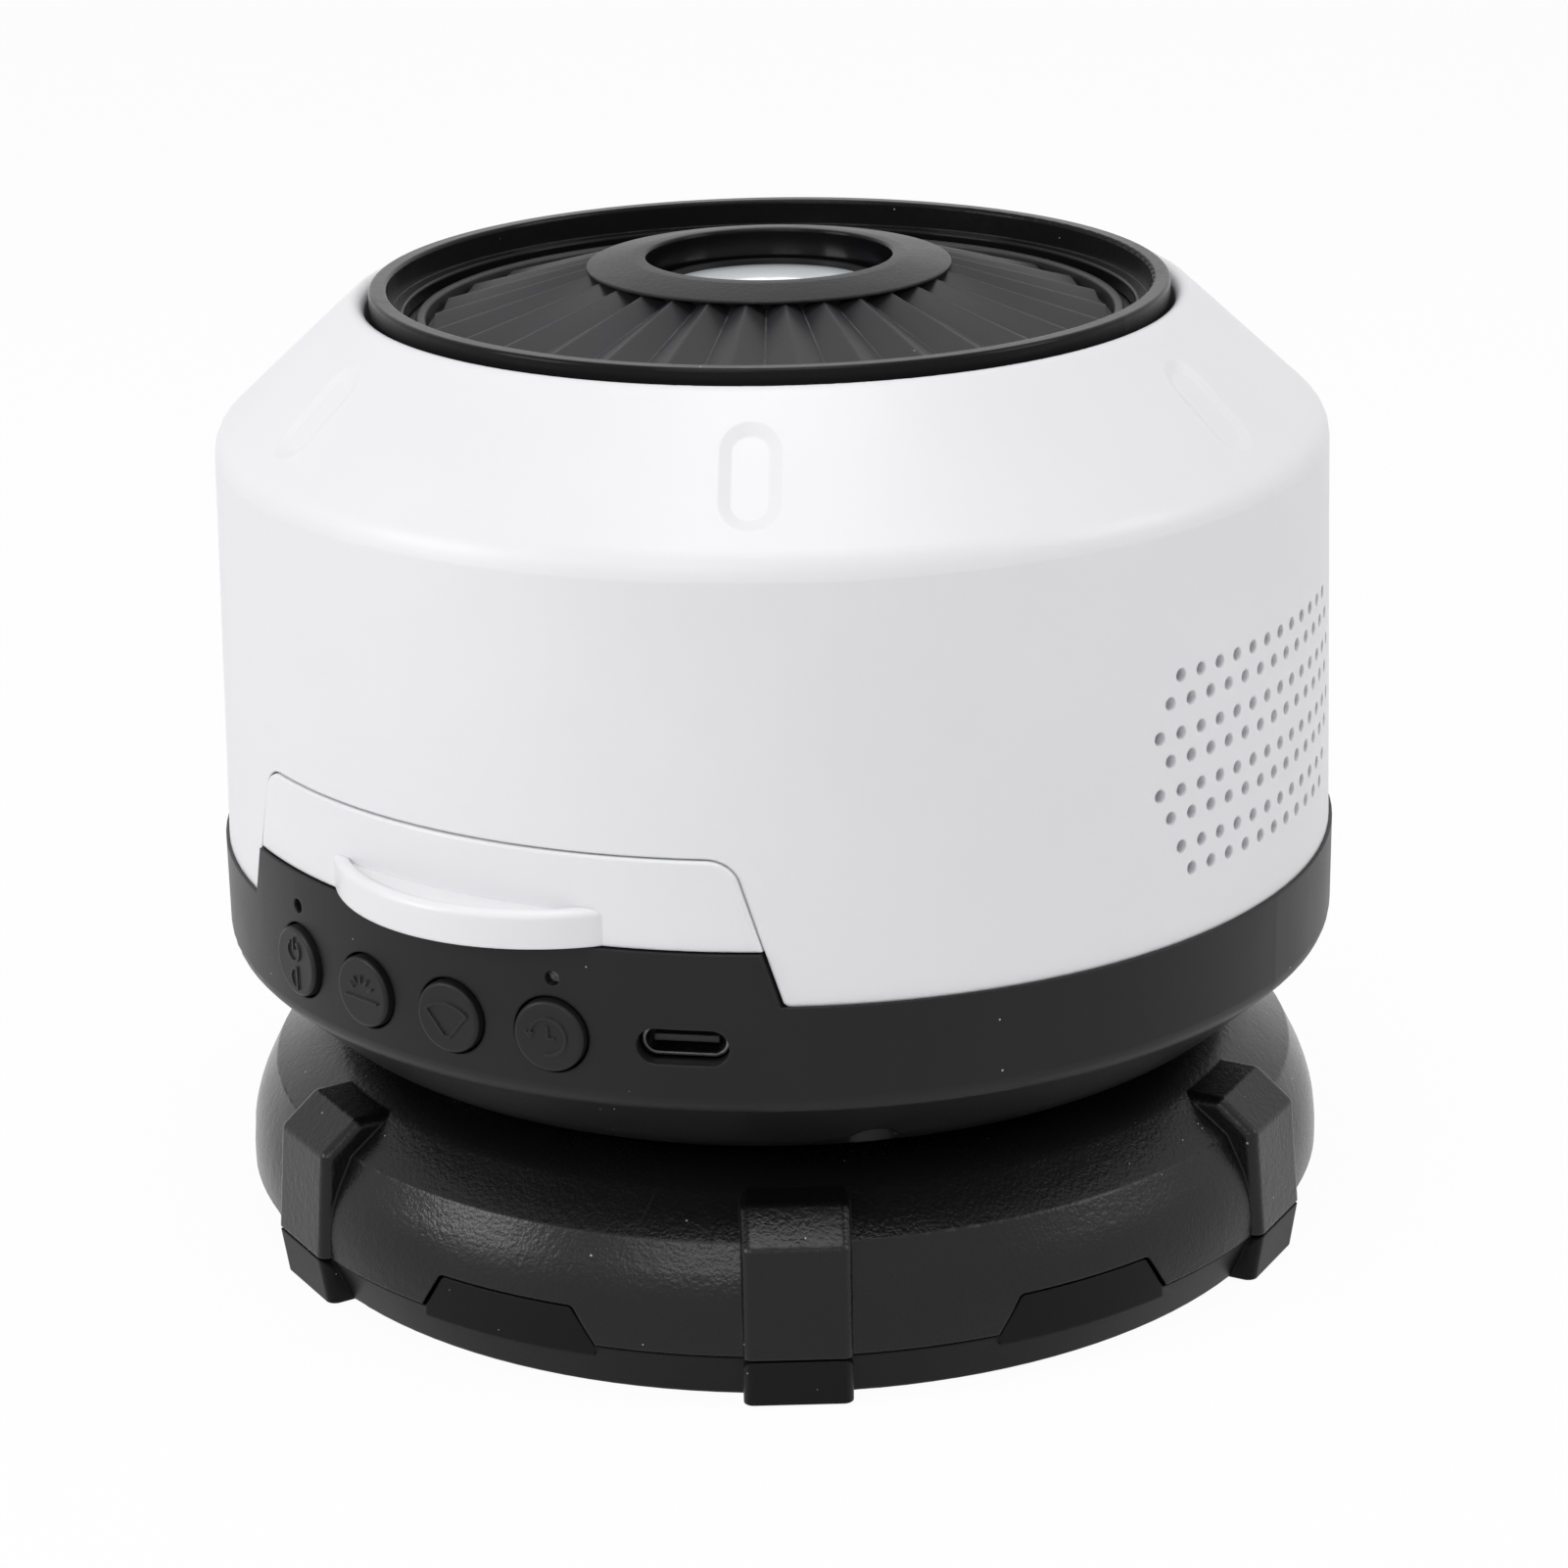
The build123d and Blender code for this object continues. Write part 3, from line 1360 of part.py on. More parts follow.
with BuildPart() as condenser_holder:
    turned(
        [
            (lamp_board_radius + screw_play, sink_top_z),
            (sink_radius, sink_top_z),
            (sink_radius, holder_flange_z),
            (holder_bore + holder_wall, holder_flange_z),
            (holder_bore + holder_wall, sink_top_z + holder_height),
            (holder_bore, sink_top_z + holder_height),
            (holder_bore, holder_seat_z),
            (holder_bore - holder_wall, holder_seat_z),
            (holder_bore - holder_wall, holder_flange_z),
            (lamp_board_radius + screw_play, holder_flange_z),
        ]
    )
    with Locations(*[(x, y, holder_flange_z) for x, y in lamp_spots]):
        Cylinder(small_screw[0] + screw_play, 3 * holder_flange_height, mode=Mode.SUBTRACT)
keep(condenser_holder, "condenser_holder")

with BuildPart() as condenser_lens:
    lens(condenser_radius, condenser_edge, condenser_crown, holder_seat_z)
keep(condenser_lens, "condenser_lens")

with BuildPart() as lamp_screws:
    screws(
        [(x, y, holder_flange_z) for x, y in lamp_spots],
        small_screw,
        holder_flange_height + sink_base_height + small_screw_length - seam,
        up=False,
    )
keep(lamp_screws, "lamp_screws")

# ---- electronics ----------------------------------------------------------------------
button_face = band_radius + button_proud
button_back = button_face - button_length
plunger_tip = button_back - button_travel - switch_gap
switch_front = plunger_tip - plunger_length
light_foot = switch_front - switch_depth - wall

with BuildPart() as main_board:
    with BuildSketch(Plane.XY.offset(board_z)):
        Circle(board_radius)
        Circle(board_inner, mode=Mode.SUBTRACT)
        reach = 2 * board_radius
        with BuildLine():
            Polyline(
                (0, 0),
                spot(-board_half_angle, reach)[:2],
                (0, -reach),
                spot(board_half_angle, reach)[:2],
                close=True,
            )
        make_face(mode=Mode.INTERSECT)
        with Locations(*case_spots):
            Circle(boss_radius + open_play, mode=Mode.SUBTRACT)
        with Locations(*front_legs):
            Circle(small_screw[0] + screw_play, mode=Mode.SUBTRACT)
    extrude(amount=board_height)
keep(main_board, "main_board")

with BuildPart() as control_chip:
    with Locations((0, -(board_inner + chip_side), board_top_z)):
        Box(chip_side, chip_side, chip_height, align=(Align.CENTER, Align.CENTER, Align.MIN))
keep(control_chip, "control_chip")

with BuildPart() as tact_switches:
    for azimuth in button_azimuths:
        with Locations(facing(azimuth, switch_front, control_z)):
            Box(
                switch_width,
                2 * (control_z - board_top_z),
                switch_depth,
                align=(Align.CENTER, Align.CENTER, Align.MAX),
            )
            Cylinder(plunger_radius, plunger_length, align=(Align.CENTER, Align.CENTER, Align.MIN))
keep(tact_switches, "tact_switches")

usb_mouth = band_radius - usb_recess

with BuildPart() as usb_shell:
    with BuildSketch(facing(usb_azimuth, usb_mouth, usb_z)):
        SlotOverall(usb_width, usb_height)
    extrude(amount=-usb_depth)
    with BuildSketch(facing(usb_azimuth, usb_mouth, usb_z)) as usb_mouth_outline:
        SlotOverall(usb_width - 2 * usb_sheet, usb_height - 2 * usb_sheet)
    extrude(usb_mouth_outline.sketch, amount=usb_sheet - usb_depth, mode=Mode.SUBTRACT)
keep(usb_shell, "usb_shell")

with BuildPart() as usb_tongue:
    with Locations(facing(usb_azimuth, usb_mouth + usb_sheet - usb_depth, usb_z)):
        Box(
            usb_tongue_width,
            usb_tongue_height,
            usb_depth - 3 * usb_sheet,
            align=(Align.CENTER, Align.CENTER, Align.MIN),
        )
keep(usb_tongue, "usb_tongue")

led_top_z = board_top_z + chip_height

with BuildPart() as indicator_leds:
    for azimuth in light_azimuths:
        with Locations(facing(azimuth, light_foot, (board_top_z + led_top_z) / 2)):
            Box(2 * light_radius, chip_height, 2 * light_radius)
keep(indicator_leds, "indicator_leds")

with BuildPart() as light_pipes:
    for azimuth in light_azimuths:
        with Locations(facing(azimuth, light_foot, light_z)):
            Cylinder(
                light_radius - running_play,
                band_radius - wall / 2 - light_foot,
                align=(Align.CENTER, Align.CENTER, Align.MIN),
            )
            Sphere(light_radius - running_play)
        with Locations(spot(azimuth, light_foot, led_top_z)):
            Cylinder(
                light_radius - running_play,
                light_z - led_top_z,
                align=(Align.CENTER, Align.CENTER, Align.MIN),
            )
keep(light_pipes, "light_pipes")

# ---- battery --------------------------------------------------------------------------
cell_axis = Plane(origin=(cell_x, cell_y, cell_z), x_dir=(0, 1, 0), z_dir=(1, 0, 0))

with BuildPart() as battery_cell:
    with Locations(cell_axis):
        Cylinder(cell_radius, cell_length)
    fillet(battery_cell.edges().filter_by(GeomType.CIRCLE), edge_round)
keep(battery_cell, "battery_cell")

with BuildPart() as battery_cradle:
    with Locations((cell_x, cell_y, cradle_z)):
        Box(
            cell_length + 2 * cell_wall,
            2 * cradle_half_width,
            cradle_height,
            align=(Align.CENTER, Align.CENTER, Align.MIN),
        )
    for side in (-1, 1):
        with Locations((cell_x + side * (cell_length + cell_wall) / 2, cell_y, cradle_z)):
            Box(
                cell_wall,
                2 * cradle_half_width,
                cradle_height + 2 * cell_radius,
                align=(Align.CENTER, Align.CENTER, Align.MIN),
            )
keep(battery_cradle, "battery_cradle")

# ---- speaker --------------------------------------------------------------------------
frame_face = speaker_x - speaker_flange_height
basket_back = frame_face - basket_depth

with BuildPart() as speaker_frame:
    with Locations(facing(grille_azimuth, frame_face, speaker_z)):
        Cylinder(speaker_radius, speaker_flange_height, align=(Align.CENTER, Align.CENTER, Align.MIN))
    with Locations(facing(grille_azimuth, basket_back, speaker_z)):
        Cone(magnet_radius, basket_radius, basket_depth, align=(Align.CENTER, Align.CENTER, Align.MIN))
        with Locations((0, 0, basket_sheet)):
            Cone(
                magnet_radius - basket_sheet,
                basket_radius - basket_sheet,
                basket_depth,
                align=(Align.CENTER, Align.CENTER, Align.MIN),
                mode=Mode.SUBTRACT,
            )
    with Locations(facing(grille_azimuth, frame_face + basket_sheet, speaker_z)):
        Cylinder(
            cone_radius,
            speaker_flange_height,
            align=(Align.CENTER, Align.CENTER, Align.MIN),
            mode=Mode.SUBTRACT,
        )
keep(speaker_frame, "speaker_frame")

with BuildPart() as speaker_cone:
    with Locations(facing(grille_azimuth, frame_face + basket_sheet, speaker_z)):
        Cylinder(cone_radius, cone_sheet, align=(Align.CENTER, Align.CENTER, Align.MIN))
        with Locations((0, 0, -cone_depth + cone_sheet)):
            Cone(
                magnet_radius / 2,
                basket_radius - 2 * basket_sheet,
                cone_depth,
                align=(Align.CENTER, Align.CENTER, Align.MIN),
            )
        with Locations((0, 0, -cone_depth + 2 * cone_sheet)):
            Cone(
                magnet_radius / 2,
                basket_radius - 2 * basket_sheet,
                cone_depth,
                align=(Align.CENTER, Align.CENTER, Align.MIN),
                mode=Mode.SUBTRACT,
            )
keep(speaker_cone, "speaker_cone")

with BuildPart() as speaker_magnet:
    with Locations(facing(grille_azimuth, basket_back, speaker_z)):
        Cylinder(magnet_radius, magnet_height, align=(Align.CENTER, Align.CENTER, Align.MAX))
keep(speaker_magnet, "speaker_magnet")

with BuildPart() as speaker_gasket:
    with BuildSketch(facing(grille_azimuth, speaker_x, speaker_z)):
        Circle(speaker_radius)
        Circle(speaker_radius - gasket_width, mode=Mode.SUBTRACT)
    extrude(amount=gasket_height)
keep(speaker_gasket, "speaker_gasket")


# ---- buttons --------------------------------------------------------------------------
def power_symbol():
    """Broken ring with a bar, over a half moon."""
    with BuildSketch() as strokes:
        with BuildLine():
            CenterArc((0, 1.3), 1.15, 120, 300)
        trace(line_width=symbol_line)
        with BuildLine():
            Line((0, 1.4), (0, 2.8))
        trace(line_width=symbol_line)
        with BuildLine():
            Line((0.5, -0.55), (0.5, -2.95))
            CenterArc((0.5, -1.75), 1.2, 90, 180)
        trace(line_width=symbol_line)
    return strokes.sketch


def brightness_symbol():
    """Sunrise: a level line with rays above it."""
    with BuildSketch() as strokes:
        with BuildLine():
            Line((-2.5, -0.7), (2.5, -0.7))
        trace(line_width=symbol_line)
        for ray in (25, 57, 90, 123, 155):
            turn = radians(ray)
            with BuildLine():
                Line((1.2 * cos(turn), 1.2 * sin(turn) - 0.1), (2 * cos(turn), 2 * sin(turn) - 0.1))
            trace(line_width=symbol_line)
    return strokes.sketch


def rotation_symbol():
    """Fan-shaped sector."""
    near = 0.4
    far = 4.0
    spread = 40
    side = near * sin(radians(spread))
    foot = near * cos(radians(spread)) - 2.4
    with BuildSketch() as strokes:
        with BuildLine():
            CenterArc((0, -2.4), far, 90 - spread, 2 * spread)
            CenterArc((0, -2.4), near, 90 - spread, 2 * spread)
            PolarLine((side, foot), far - near, 90 - spread)
            PolarLine((-side, foot), far - near, 90 + spread)
        trace(line_width=symbol_line)
    return strokes.sketch


def timer_symbol():
    """Clock hands in a ring that ends in an arrow."""
    with BuildSketch() as strokes:
        with BuildLine():
            CenterArc((0, 0), 2.0, -100, 280)
        trace(line_width=symbol_line)
        with BuildLine():
            Polyline((0, 1.2), (0, -0.1), (0.8, -0.1))
        trace(line_width=symbol_line)
        with BuildLine():
            Polyline((-2.4, 0.4), (-2.0, -0.1), (-1.6, 0.4))
        trace(line_width=symbol_line)
    return strokes.sketch


button_names = ("button_power", "button_brightness", "button_rotation", "button_timer")
button_symbols = (power_symbol, brightness_symbol, rotation_symbol, timer_symbol)

for name, azimuth, symbol in zip(button_names, button_azimuths, button_symbols):
    with BuildPart() as button:
        with Locations(facing(azimuth, button_back, control_z)):
            Cylinder(button_radius, button_length, align=(Align.CENTER, Align.CENTER, Align.MIN))
            fillet(button.edges().filter_by(GeomType.CIRCLE).sort_by(Axis.Y)[0], edge_round)
            with Locations((0, 0, button_flange_lift)):
                Cylinder(
                    button_radius + button_flange,
                    button_flange_height,
                    align=(Align.CENTER, Align.CENTER, Align.MIN),
                )
        with BuildSketch(facing(azimuth, button_face, control_z)):
            add(symbol())
        extrude(amount=symbol_height)
    keep(button, name)
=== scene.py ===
from math import cos, pi, radians, sin, tan

import bpy
from mathutils import Matrix, Vector


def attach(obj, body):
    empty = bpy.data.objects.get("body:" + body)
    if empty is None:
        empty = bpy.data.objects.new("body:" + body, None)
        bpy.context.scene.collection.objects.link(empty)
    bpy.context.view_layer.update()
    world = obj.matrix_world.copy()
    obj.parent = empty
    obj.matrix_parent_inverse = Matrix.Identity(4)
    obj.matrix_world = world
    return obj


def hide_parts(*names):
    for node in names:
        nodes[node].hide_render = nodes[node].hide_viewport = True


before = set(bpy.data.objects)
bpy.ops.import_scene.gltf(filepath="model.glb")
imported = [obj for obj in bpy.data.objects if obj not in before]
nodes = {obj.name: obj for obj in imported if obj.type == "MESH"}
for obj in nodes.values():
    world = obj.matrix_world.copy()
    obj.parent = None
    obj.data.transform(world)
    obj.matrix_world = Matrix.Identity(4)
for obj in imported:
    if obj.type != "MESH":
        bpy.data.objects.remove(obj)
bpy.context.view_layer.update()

# Planetarium projector: white casing on a black band and a round black base, with a
# pleated focus dial on top.  The scene is in metres with +Z up, and the film tray and the
# buttons face -Y.  Sizes named here are in millimetres, and azimuths in degrees from -Y
# towards +X.

mm = 0.001

# ---- sizes of the projector ----------------------------------------------------------
band_radius = 62.9
button_side = 0.45          # a button's side ends this far outside the band; painted shade is full up to here
button_face = 0.75          # and its face begins here, where the painted shade has faded out
lens_radius = 11.9
lens_glow_radius = 7.0    # the lens's painted glow is brightest inside this

dial_radius = 38.9
rim_inner_radius = 37.8
rim_foot_radius = 34.7
flange_radius = 42.1
rim_z = 102.882
flange_top_z = 101.582
flange_foot_z = 100.182
groove_z = 100.982
rim_foot_height = 1.5       # below the groove

pleat_count = 30
pleat_azimuth = 1.2
pleat_inner_radius = 17.3
pleat_outer_radius = 36.9
ridge_outer_z = 102.582
ridge_inner_z = 108.179
outer_pleat_depth = 1.4
inner_pleat_depth = 1.5
inner_pleat_body = 2.6      # from the ridges to the underside
outer_pleat_foot = 0.3      # from the groove to the underside

bore_radius = 13.5
collar_foot_radius = 19.7
collar_neck_radius = 18.0
collar_radius = 20.0
collar_land_radius = 15.1   # nearly flat land round the bore
hub_z = 101.882
collar_foot_z = 103.78
collar_neck_z = 105.7
collar_edge_z = 107.483
collar_edge_height = 0.35
collar_land_z = 108.683
collar_top_z = 108.783

screen_radii = (59.9, 60.3)
screen_azimuths = (60.0, 120.0)
screen_levels = (46.5, 74.0)

base_screw_count = 3
base_screw_circle = 50.0
base_screw_azimuth = 33.3
base_screw_seat = 2.5
base_screw_length = 10.0
case_screw_count = 4
case_screw_circle = 54.2
case_screw_azimuth = 42.0
case_screw_seat = 33.0
case_screw_length = 24.0

inlet_azimuth = 23.1
inlet_z = 40.85
contact_radius = 56.6
contact_spread = 0.74       # between the rows above and below the tongue


# ---- shader trees --------------------------------------------------------------------
def place(tree, kind, sockets=None, **settings):
    """Add a node, give it its settings, and set or link its input sockets."""
    node = tree.nodes.new(kind)
    for name, value in settings.items():
        setattr(node, name, value)
    for name, value in (sockets or {}).items():
        if isinstance(value, bpy.types.NodeSocket):
            tree.links.new(value, node.inputs[name])
        else:
            node.inputs[name].default_value = value
    return node


def math(tree, operation, first, second=0.0, clamp=False):
    """Result of a Math node on two sockets or numbers."""
    node = place(tree, "ShaderNodeMath", {0: first, 1: second}, operation=operation)
    node.use_clamp = clamp
    return node.outputs[0]


def fade(tree, value, low, high, start=0.0, end=1.0):
    """Smooth step of a value from start at low to end at high."""
    node = place(
        tree,
        "ShaderNodeMapRange",
        {"Value": value, "From Min": low, "From Max": high, "To Min": start, "To Max": end},
        interpolation_type="SMOOTHSTEP",
    )
    return node.outputs["Result"]


def out_from_axis(tree, here):
    """Distance of a point from the swivel axis."""
    across = (1.0, 1.0, 0.0)
    flat = place(tree, "ShaderNodeVectorMath", {0: here, 1: across}, operation="MULTIPLY")
    outward = place(tree, "ShaderNodeVectorMath", {0: flat.outputs[0]}, operation="LENGTH")
    return outward.outputs["Value"]


def shader_group(name, inputs, outputs):
    """Shader node group with named number inputs and named outputs."""
    tree = bpy.data.node_groups.new(name, "ShaderNodeTree")
    for socket, value in inputs.items():
        item = tree.interface.new_socket(socket, in_out="INPUT", socket_type="NodeSocketFloat")
        item.default_value = value
    for socket, kind in outputs.items():
        tree.interface.new_socket(socket, in_out="OUTPUT", socket_type=kind)
    return tree, tree.nodes.new("NodeGroupInput").outputs, tree.nodes.new("NodeGroupOutput").inputs


def moulded_grain():
    """Spark-eroded grain: pits for the bump, and a roughness that clouds over the surface."""
    tree, given, out = shader_group(
        "moulded_grain",
        {"Grain": 2800.0, "Clouds": 55.0, "Roughness": 0.4, "Spread": 0.1},
        {"Height": "NodeSocketFloat", "Roughness": "NodeSocketFloat"},
    )
    here = place(tree, "ShaderNodeTexCoord").outputs["Object"]
    fine = place(
        tree, "ShaderNodeTexNoise", {"Vector": here, "Scale": given["Grain"], "Detail": 2.0}
    )
    coarse_scale = math(tree, "MULTIPLY", given["Grain"], 0.45)
    pits = place(
        tree, "ShaderNodeTexVoronoi", {"Vector": here, "Scale": coarse_scale}, feature="SMOOTH_F1"
    )
    clouds = place(
        tree, "ShaderNodeTexNoise", {"Vector": here, "Scale": given["Clouds"], "Detail": 4.0}
    )
    depth = math(tree, "MULTIPLY", pits.outputs["Distance"], 0.5)
    height = math(tree, "ADD", depth, fine.outputs["Fac"])
    tree.links.new(height, out["Height"])
    drift = math(tree, "SUBTRACT", clouds.outputs["Fac"], 0.5)
    speck = math(tree, "SUBTRACT", fine.outputs["Fac"], 0.5)
    both = math(tree, "ADD", math(tree, "MULTIPLY", drift, 2.0), speck)
    spread = math(tree, "MULTIPLY", both, given["Spread"])
    tree.links.new(math(tree, "ADD", given["Roughness"], spread, clamp=True), out["Roughness"])
    return tree


def worn_and_highlit_edges():
    """Edge mask from a rounded normal, broken up so that it comes in patches. It marks edges worn
    pale, and on the dial and its collar a painted highlight.
    """
    tree, given, out = shader_group(
        "worn_and_highlit_edges",
        {"Radius": 0.0004, "Wear And Highlight": 0.5},
        {"Edge": "NodeSocketFloat", "Normal": "NodeSocketVector"},
    )
    rounded = place(tree, "ShaderNodeBevel", {"Radius": given["Radius"]}, samples=4)
    true_normal = place(tree, "ShaderNodeNewGeometry").outputs["Normal"]
    across = place(
        tree,
        "ShaderNodeVectorMath",
        {0: rounded.outputs["Normal"], 1: true_normal},
        operation="DOT_PRODUCT",
    )
    bend = math(tree, "SUBTRACT", 1.0, across.outputs["Value"])
    here = place(tree, "ShaderNodeTexCoord").outputs["Object"]
    patches = place(tree, "ShaderNodeTexNoise", {"Vector": here, "Scale": 420.0, "Detail": 5.0})
    broken = fade(tree, patches.outputs["Fac"], 0.35, 0.65, 0.35, 1.0)
    mask = math(tree, "MULTIPLY", fade(tree, bend, 0.02, 0.3), broken)
    tree.links.new(math(tree, "MULTIPLY", mask, given["Wear And Highlight"], clamp=True), out["Edge"])
    tree.links.new(rounded.outputs["Normal"], out["Normal"])
    return tree


def settled_dust():
    """Sparse pale specks, and short fine scuffs."""
    tree, given, out = shader_group(
        "settled_dust",
        {"Cells": 480.0, "Share": 0.06, "Size": 0.065, "Scuffs": 0.3},
        {"Specks": "NodeSocketFloat", "Scuffs": "NodeSocketFloat"},
    )
    here = place(tree, "ShaderNodeTexCoord").outputs["Object"]
    cells = place(tree, "ShaderNodeTexVoronoi", {"Vector": here, "Scale": given["Cells"]})
    chance = place(tree, "ShaderNodeSeparateColor", {"Color": cells.outputs["Color"]})
    chosen = math(tree, "LESS_THAN", chance.outputs["Red"], given["Share"])
    speck_size = math(tree, "MULTIPLY", chance.outputs["Green"], given["Size"])
    inside = math(tree, "LESS_THAN", cells.outputs["Distance"], speck_size)
    tree.links.new(math(tree, "MULTIPLY", chosen, inside), out["Specks"])
    drawn = place(
        tree,
        "ShaderNodeMapping",
        {"Vector": here, "Rotation": (0.4, 0.9, 0.3), "Scale": (900.0, 60.0, 60.0)},
    )
    streaks = place(
        tree, "ShaderNodeTexNoise", {"Vector": drawn.outputs["Vector"], "Scale": 1.0, "Detail": 1.0}
    )
    line = fade(tree, streaks.outputs["Fac"], 0.72, 0.78)
    patches = place(tree, "ShaderNodeTexNoise", {"Vector": here, "Scale": 45.0, "Detail": 2.0})
    where = fade(tree, patches.outputs["Fac"], 0.58, 0.7)
    scuffs = math(tree, "MULTIPLY", line, where)
    tree.links.new(math(tree, "MULTIPLY", scuffs, given["Scuffs"]), out["Scuffs"])
    return tree


grain_group = moulded_grain()
edge_group = worn_and_highlit_edges()
dust_group = settled_dust()


def use_group(tree, group, values):
    """Place a shared group with this material's own values."""
    node = place(tree, "ShaderNodeGroup", node_tree=group)
    for name, value in values.items():
        node.inputs[name].default_value = value
    return node.outputs


def blend_colour(tree, share, first, second):
    """Colour mixed from first to second by a share from 0 to 1."""
    node = place(tree, "ShaderNodeMix", {"Factor": share}, data_type="RGBA")
    colour_a, colour_b, colour_out = node.inputs[6], node.inputs[7], node.outputs[2]
    for socket, value in ((colour_a, first), (colour_b, second)):
        if isinstance(value, bpy.types.NodeSocket):
            tree.links.new(value, socket)
        else:
            socket.default_value = (*value, 1.0)
    return colour_out


def new_material(name):
    """Material with a bare shader joined to its output."""
    material = bpy.data.materials.new(name)
    material.use_nodes = True
    shader = material.node_tree.nodes["Principled BSDF"]
    return material, material.node_tree, shader


def moulded(
    name,
    colour,
    roughness,
    spread=0.08,
    grain=2800.0,
    depth=0.006,
    edge_colour=None,
    edge_radius=0.35,
    wear_and_highlight=0.4,
    dust=0.05,
    scuffs=0.2,
    specular=0.5,
    tint=0.04,
    coat=0.0,
):
    """Moulded plastic: grain, clouded gloss, pale edges, specks and scuffs. The pale edges are
    worn, and on the dial and its collar also a painted highlight.  The depth of the grain and the
    radius of the edges are in millimetres."""
    material, tree, shader = new_material(name)
    grained = use_group(
        tree, grain_group, {"Grain": grain, "Roughness": roughness, "Spread": spread}
    )
    edges = use_group(tree, edge_group, {"Radius": edge_radius * mm, "Wear And Highlight": wear_and_highlight})
    dusty = use_group(tree, dust_group, {"Share": dust, "Scuffs": scuffs})
    here = place(tree, "ShaderNodeTexCoord").outputs["Object"]
    clouds = place(tree, "ShaderNodeTexNoise", {"Vector": here, "Scale": 38.0, "Detail": 3.0})
    darker = tuple(c * (1 - tint) for c in colour)
    lighter = tuple(min(1.0, c * (1 + tint)) for c in colour)
    body = blend_colour(tree, fade(tree, clouds.outputs["Fac"], 0.3, 0.7), darker, lighter)
    # Pale edges: worn, and on the dial and its collar a painted highlight.
    rubbed_and_highlit = blend_colour(tree, edges["Edge"], body, edge_colour or lighter)
    marked = math(tree, "ADD", dusty["Specks"], dusty["Scuffs"], clamp=True)
    dust_share = math(tree, "MULTIPLY", marked, 0.7)
    dust_colour = (0.55, 0.54, 0.52)
    coloured = blend_colour(tree, dust_share, rubbed_and_highlit, dust_colour)
    bump = place(
        tree,
        "ShaderNodeBump",
        {
            "Strength": 1.0, "Distance": depth * mm,
            "Height": grained["Height"], "Normal": edges["Normal"],
        },
    )
    tree.links.new(coloured, shader.inputs["Base Color"])
    smoother = math(tree, "MULTIPLY", edges["Edge"], 0.12)
    worn_rough = math(tree, "SUBTRACT", grained["Roughness"], smoother, clamp=True)
    tree.links.new(worn_rough, shader.inputs["Roughness"])
    tree.links.new(bump.outputs["Normal"], shader.inputs["Normal"])
    shader.inputs["Specular IOR Level"].default_value = specular
    shader.inputs["Coat Weight"].default_value = coat
    return material


def metal(name, colour, roughness, stretch=(1.0, 1.0, 1.0), lines=1500.0, tarnish=None):
    """Worked metal: tool lines drawn out along one way, and patches of tarnish."""
    material, tree, shader = new_material(name)
    here = place(tree, "ShaderNodeTexCoord").outputs["Object"]
    drawn = place(tree, "ShaderNodeMapping", {"Vector": here, "Scale": stretch})
    tool = place(
        tree,
        "ShaderNodeTexNoise",
        {"Vector": drawn.outputs["Vector"], "Scale": lines, "Detail": 3.0},
    )
    patches = place(tree, "ShaderNodeTexNoise", {"Vector": here, "Scale": 90.0, "Detail": 5.0})
    edges = use_group(tree, edge_group, {"Radius": 0.2 * mm, "Wear And Highlight": 0.5})
    dull = tarnish or tuple(c * 0.72 for c in colour)
    body = blend_colour(tree, fade(tree, patches.outputs["Fac"], 0.42, 0.68), colour, dull)
    bright = tuple(min(1.0, c * 1.15) for c in colour)
    tree.links.new(blend_colour(tree, edges["Edge"], body, bright), shader.inputs["Base Color"])
    shader.inputs["Metallic"].default_value = 1.0
    grain = math(tree, "MULTIPLY", math(tree, "SUBTRACT", tool.outputs["Fac"], 0.5), 0.35)
    haze = math(tree, "MULTIPLY", math(tree, "SUBTRACT", patches.outputs["Fac"], 0.5), 0.3)
    rough = math(tree, "ADD", math(tree, "ADD", grain, haze), roughness, clamp=True)
    tree.links.new(rough, shader.inputs["Roughness"])
    line_depth = 0.002 * mm
    bump = place(
        tree,
        "ShaderNodeBump",
        {
            "Strength": 1.0, "Distance": line_depth,
            "Height": tool.outputs["Fac"], "Normal": edges["Normal"],
        },
    )
    tree.links.new(bump.outputs["Normal"], shader.inputs["Normal"])
    return material


def clear(name, colour, roughness, transmission, ior=1.5):
    """Clear moulding or glass with a faint haze of smears."""
    material, tree, shader = new_material(name)
    here = place(tree, "ShaderNodeTexCoord").outputs["Object"]
    smears = place(
        tree,
        "ShaderNodeTexNoise",
        {"Vector": here, "Scale": 180.0, "Detail": 4.0, "Distortion": 1.2},
    )
    share = fade(tree, smears.outputs["Fac"], 0.4, 0.75)
    smeared = tuple(c * 0.94 for c in colour)
    tree.links.new(blend_colour(tree, share, colour, smeared), shader.inputs["Base Color"])
    haze = math(tree, "MULTIPLY", share, 0.05)
    tree.links.new(math(tree, "ADD", haze, roughness, clamp=True), shader.inputs["Roughness"])
    shader.inputs["Transmission Weight"].default_value = transmission
    shader.inputs["IOR"].default_value = ior
    return material


